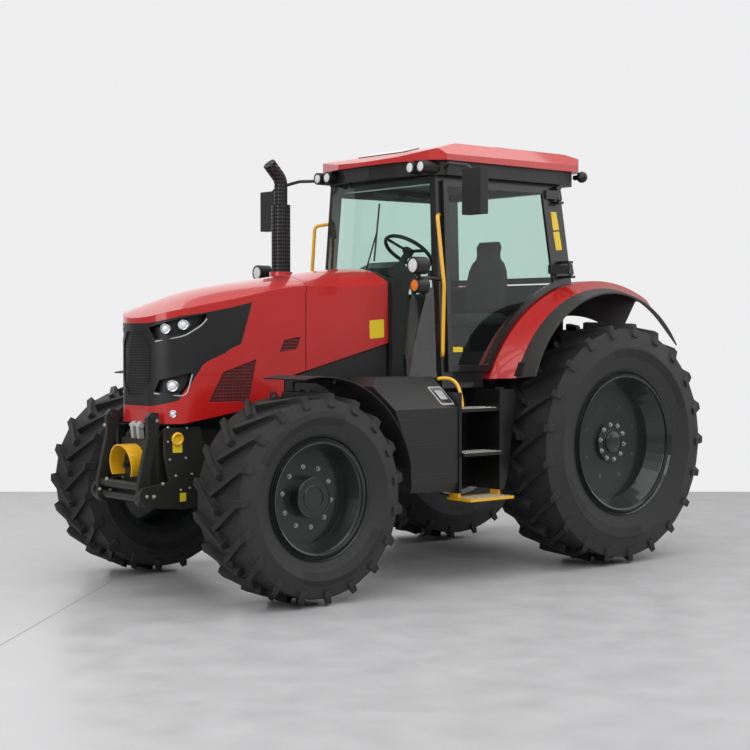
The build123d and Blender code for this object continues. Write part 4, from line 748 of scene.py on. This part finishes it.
def dress_cab():
    """Pillar plates, mirror glass, roof hatch, rear lamp ball, tail lamps, armrest screen and lever."""
    pillar = ["cab_frame", "door_frame_left", "door_glass_left", "rear_window"]
    pixel_plate("pillar_plate_high", pillar, [(550.5, 212), (556, 212), (559, 230), (553, 230.5)], "chassis", YELLOW_PLATE, 0.002, 0.006)
    pixel_plate("pillar_plate_low", pillar, [(553, 232), (559, 231.5), (562, 250), (556, 250.5)], "chassis", YELLOW_PLATE, 0.002, 0.006)
    glass, shell = bmesh.new(), bmesh.new()
    for side in (1, -1):
        corners = [at(-1384, side * 1225 + dy, z) for dy, z in ((-78, 2665), (78, 2665), (78, 2945), (-78, 2945))]
        slab(glass, rounded(corners, 0.03), Vector((-1, 0, 0)), 0.001)
        lathe(shell, [(0, -0.003), (0.034, -0.003), (0.03, 0.001), (0, 0.002)], at(-1312, side * 1225, 2840), Vector((1, 0, 0)), 28)
    piece("mirror_glasses", glass, "chassis", MIRROR_GLASS)
    piece("mirror_bosses", shell, "chassis", MATERIALS["black_plastic"])
    bm = bmesh.new()
    spots = [drop(["roof_cap"], at(x, y, 4000), Vector((0, 0, -1))) for x, y in ((-1490, -270), (-1490, 270), (-1680, 270), (-1680, -270))]
    slab(bm, rounded([f[0] for f in spots], 0.03), sum((f[1] for f in spots), Vector()).normalized(), 0.006)
    piece("roof_hatch", bm, "chassis", DARK_GLOSS_AND_HOLE_SHADE)
    bm = bmesh.new()
    for side in (1, -1):
        ball = [(0.045 * math.sin(math.pi * k / 12), -0.045 * math.cos(math.pi * k / 12)) for k in range(13)]
        ball[0], ball[-1] = (0, -0.045), (0, 0.045)
        lathe(bm, ball, at(-3001, side * 722, 3044), Vector((0, 0, 1)), 28)
        lathe(bm, [(0, 0), (0.02, 0), (0.02, 0.09), (0, 0.09)], at(-3001, side * 640, 3044), Vector((0, side, 0)), 20)
    piece("roof_sensor_balls", bm, "chassis", MATERIALS["black_plastic"])
    red, amber, base = bmesh.new(), bmesh.new(), bmesh.new()
    for side in (1, -1):
        for bm, y0, y1, z0, z1, thick in ((base, 905, 1110, 1480, 1580, 0.02), (red, 915, 1030, 1490, 1570, 0.026), (amber, 1040, 1100, 1490, 1570, 0.026)):
            spots = [drop(["rear_fenders", "fender_extensions"], at(-4600, side * y, z), Vector((1, 0, 0))) for y, z in ((y0, z0), (y1, z0), (y1, z1), (y0, z1))]
            if all(spots):
                slab(bm, rounded([f[0] for f in spots], 0.012), sum((f[1] for f in spots), Vector()).normalized(), thick)
    piece("tail_lamp_bases", base, "chassis", MATERIALS["black_plastic"])
    piece("tail_lamps_red", red, "chassis", LENS_RED)
    piece("tail_lamps_amber", amber, "chassis", ORANGE)
    bm = bmesh.new()
    slab(bm, rounded([at(-2185, -500, 2088), at(-2185, -350, 2088), at(-2575, -350, 2088), at(-2575, -500, 2088)], 0.05), Vector((0, 0, 1)), 0.03)
    piece("armrest_pad", bm, "chassis", MATERIALS["seat_fabric"])
    bar("drive_lever", [at(-2230, -425, 2090), at(-2215, -425, 2160), at(-2200, -420, 2235)], 0.02, "chassis", MATERIALS["black_plastic"])
    bm = bmesh.new()
    slab(bm, rounded([at(-2150, -530, 2200), at(-2150, -360, 2200), at(-2210, -360, 2330), at(-2210, -530, 2330)], 0.02), Vector((-0.9, 0, -0.42)).normalized(), 0.02)
    piece("armrest_screen", bm, "chassis", DARK_GLOSS_AND_HOLE_SHADE)
    bar("screen_arm", [at(-2180, -445, 2085), at(-2150, -445, 2150), at(-2168, -445, 2240)], 0.012, "chassis", MATERIALS["black_plastic"])


LINER_LOW_R = 0.99


def dress_fenders():
    """Dark inner walls between the rear tyres' tops and the fenders above them."""
    for hand, side in (("left", 1), ("right", -1)):
        bm = bmesh.new()
        rows = []
        for i in range(61):
            a = math.radians(12 + 2.5 * i)
            out = Vector((math.cos(a), 0, math.sin(a)))
            start = Vector((REAR_AXLE_X, side * 0.70, REAR_AXLE_Z)) + out * LINER_LOW_R
            found = drop(["rear_fenders", "fender_extensions"], start, out)
            if found is None or (found[0] - start).length > 0.6:
                continue
            high = (found[0] - start).length + LINER_LOW_R + 0.004
            row = []
            for y in (0.655, 0.663):
                for r in (LINER_LOW_R, high):
                    row.append(bm.verts.new(Vector((REAR_AXLE_X, side * y, REAR_AXLE_Z)) + out * r))
            rows.append([row[0], row[1], row[3], row[2]])
        for low, high in zip(rows, rows[1:]):
            for k in range(4):
                bm.faces.new([low[k], low[(k + 1) % 4], high[(k + 1) % 4], high[k]])
        if rows:
            bm.faces.new(rows[0])
            bm.faces.new(list(reversed(rows[-1])))
        piece("fender_liner_" + hand, bm, "chassis", MATT_BLACK)


SEAT_BACK_ROWS = [
    (1968, 0.205, -2643, 0.085), (2030, 0.226, -2640, 0.105), (2130, 0.230, -2643, 0.110), (2230, 0.226, -2650, 0.105),
    (2310, 0.210, -2658, 0.098), (2370, 0.180, -2664, 0.088), (2410, 0.135, -2668, 0.075), (2450, 0.125, -2671, 0.08),
    (2510, 0.128, -2675, 0.085), (2555, 0.105, -2680, 0.065),
]
SEAT_ROWS = [
    (-2685, 0.225, 1898, 0.085), (-2640, 0.242, 1898, 0.105), (-2500, 0.246, 1896, 0.108), (-2350, 0.246, 1897, 0.108),
    (-2260, 0.236, 1896, 0.10), (-2218, 0.21, 1894, 0.08),
]


def seat_form(rows, upright):
    """A closed pad lofted through rows, with raised bolsters at its sides."""
    bm = bmesh.new()
    rings = []
    for place, half, middle, thick in rows:
        ring = []
        for k in range(32):
            a = 2 * math.pi * k / 32
            c, d = math.cos(a), math.sin(a)
            y = half * math.copysign(abs(c) ** 0.6, c)
            bolster = 0.8 + 0.5 * max(0.0, min(1.0, (abs(y) / half - 0.45) / 0.3)) if d > 0 else 1.0
            depth = 0.5 * thick * math.copysign(abs(d) ** 0.6, d) * bolster
            if upright:
                ring.append(bm.verts.new(at(middle + 1000 * depth, 1000 * y, place)))
            else:
                ring.append(bm.verts.new(at(place, 1000 * y, middle + 1000 * depth)))
        rings.append(ring)
    bm.faces.new(rings[0])
    bm.faces.new(list(reversed(rings[-1])))
    for low, high in zip(rings, rings[1:]):
        for k in range(32):
            bm.faces.new([low[k], low[(k + 1) % 32], high[(k + 1) % 32], high[k]])
    bmesh.ops.recalc_face_normals(bm, faces=bm.faces)
    mesh = bpy.data.meshes.new("seat_form")
    bm.to_mesh(mesh)
    bm.free()
    return mesh


def padded(name, node, cap, mesh):
    """A stuffed pad in the space of its CAD solid."""
    low, high = (Vector(c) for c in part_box(node))
    obj = bpy.data.objects.new(name, mesh)
    bpy.context.scene.collection.objects.link(obj)
    bpy.context.view_layer.objects.active = obj
    remesh = obj.modifiers.new("remesh", "REMESH")
    remesh.mode = "VOXEL"
    remesh.voxel_size = 0.006
    graph = bpy.context.evaluated_depsgraph_get()
    start = bpy.data.meshes.new_from_object(obj.evaluated_get(graph))
    obj.modifiers.clear()
    obj.data = start
    rest = [v.co.copy() for v in start.vertices]
    cloth = obj.modifiers.new("cloth", "CLOTH")
    cloth.settings.use_pressure = True
    cloth.settings.uniform_pressure_force = 4
    cloth.settings.effector_weights.gravity = 0
    scene = bpy.context.scene
    for step in range(1, 21):
        scene.frame_set(step)
    graph = bpy.context.evaluated_depsgraph_get()
    swollen = bpy.data.meshes.new_from_object(obj.evaluated_get(graph))
    obj.modifiers.clear()
    for vertex, before in zip(swollen.vertices, rest):
        shift = vertex.co - before
        if shift.length > cap:
            shift = shift.normalized() * cap
        vertex.co = before + shift
    obj.data = swollen
    scene.frame_set(1)
    for vertex in obj.data.vertices:
        for k in range(3):
            vertex.co[k] = min(max(vertex.co[k], low[k]), high[k])
    for face in obj.data.polygons:
        face.use_smooth = True
    obj.data.materials.clear()
    obj.data.materials.append(MATERIALS["seat_fabric"])
    smooth = obj.modifiers.new("smooth", "SUBSURF")
    smooth.levels = 1
    smooth.render_levels = 1
    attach(obj, "chassis")
    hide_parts(node)
    return obj


build_camera()
build_stage()
build_lights()
dress_frame()
bpy.context.view_layer.update()
dress_wheels()
dress_nose()
dress_lamps()
dress_body()
dress_glass()
dress_linkage()
dress_cab()
dress_fenders()
padded("seat_pad", "seat_cushion", 0.010, seat_form(SEAT_ROWS, False))
padded("seat_rest", "seat_back", 0.010, seat_form(SEAT_BACK_ROWS, True))
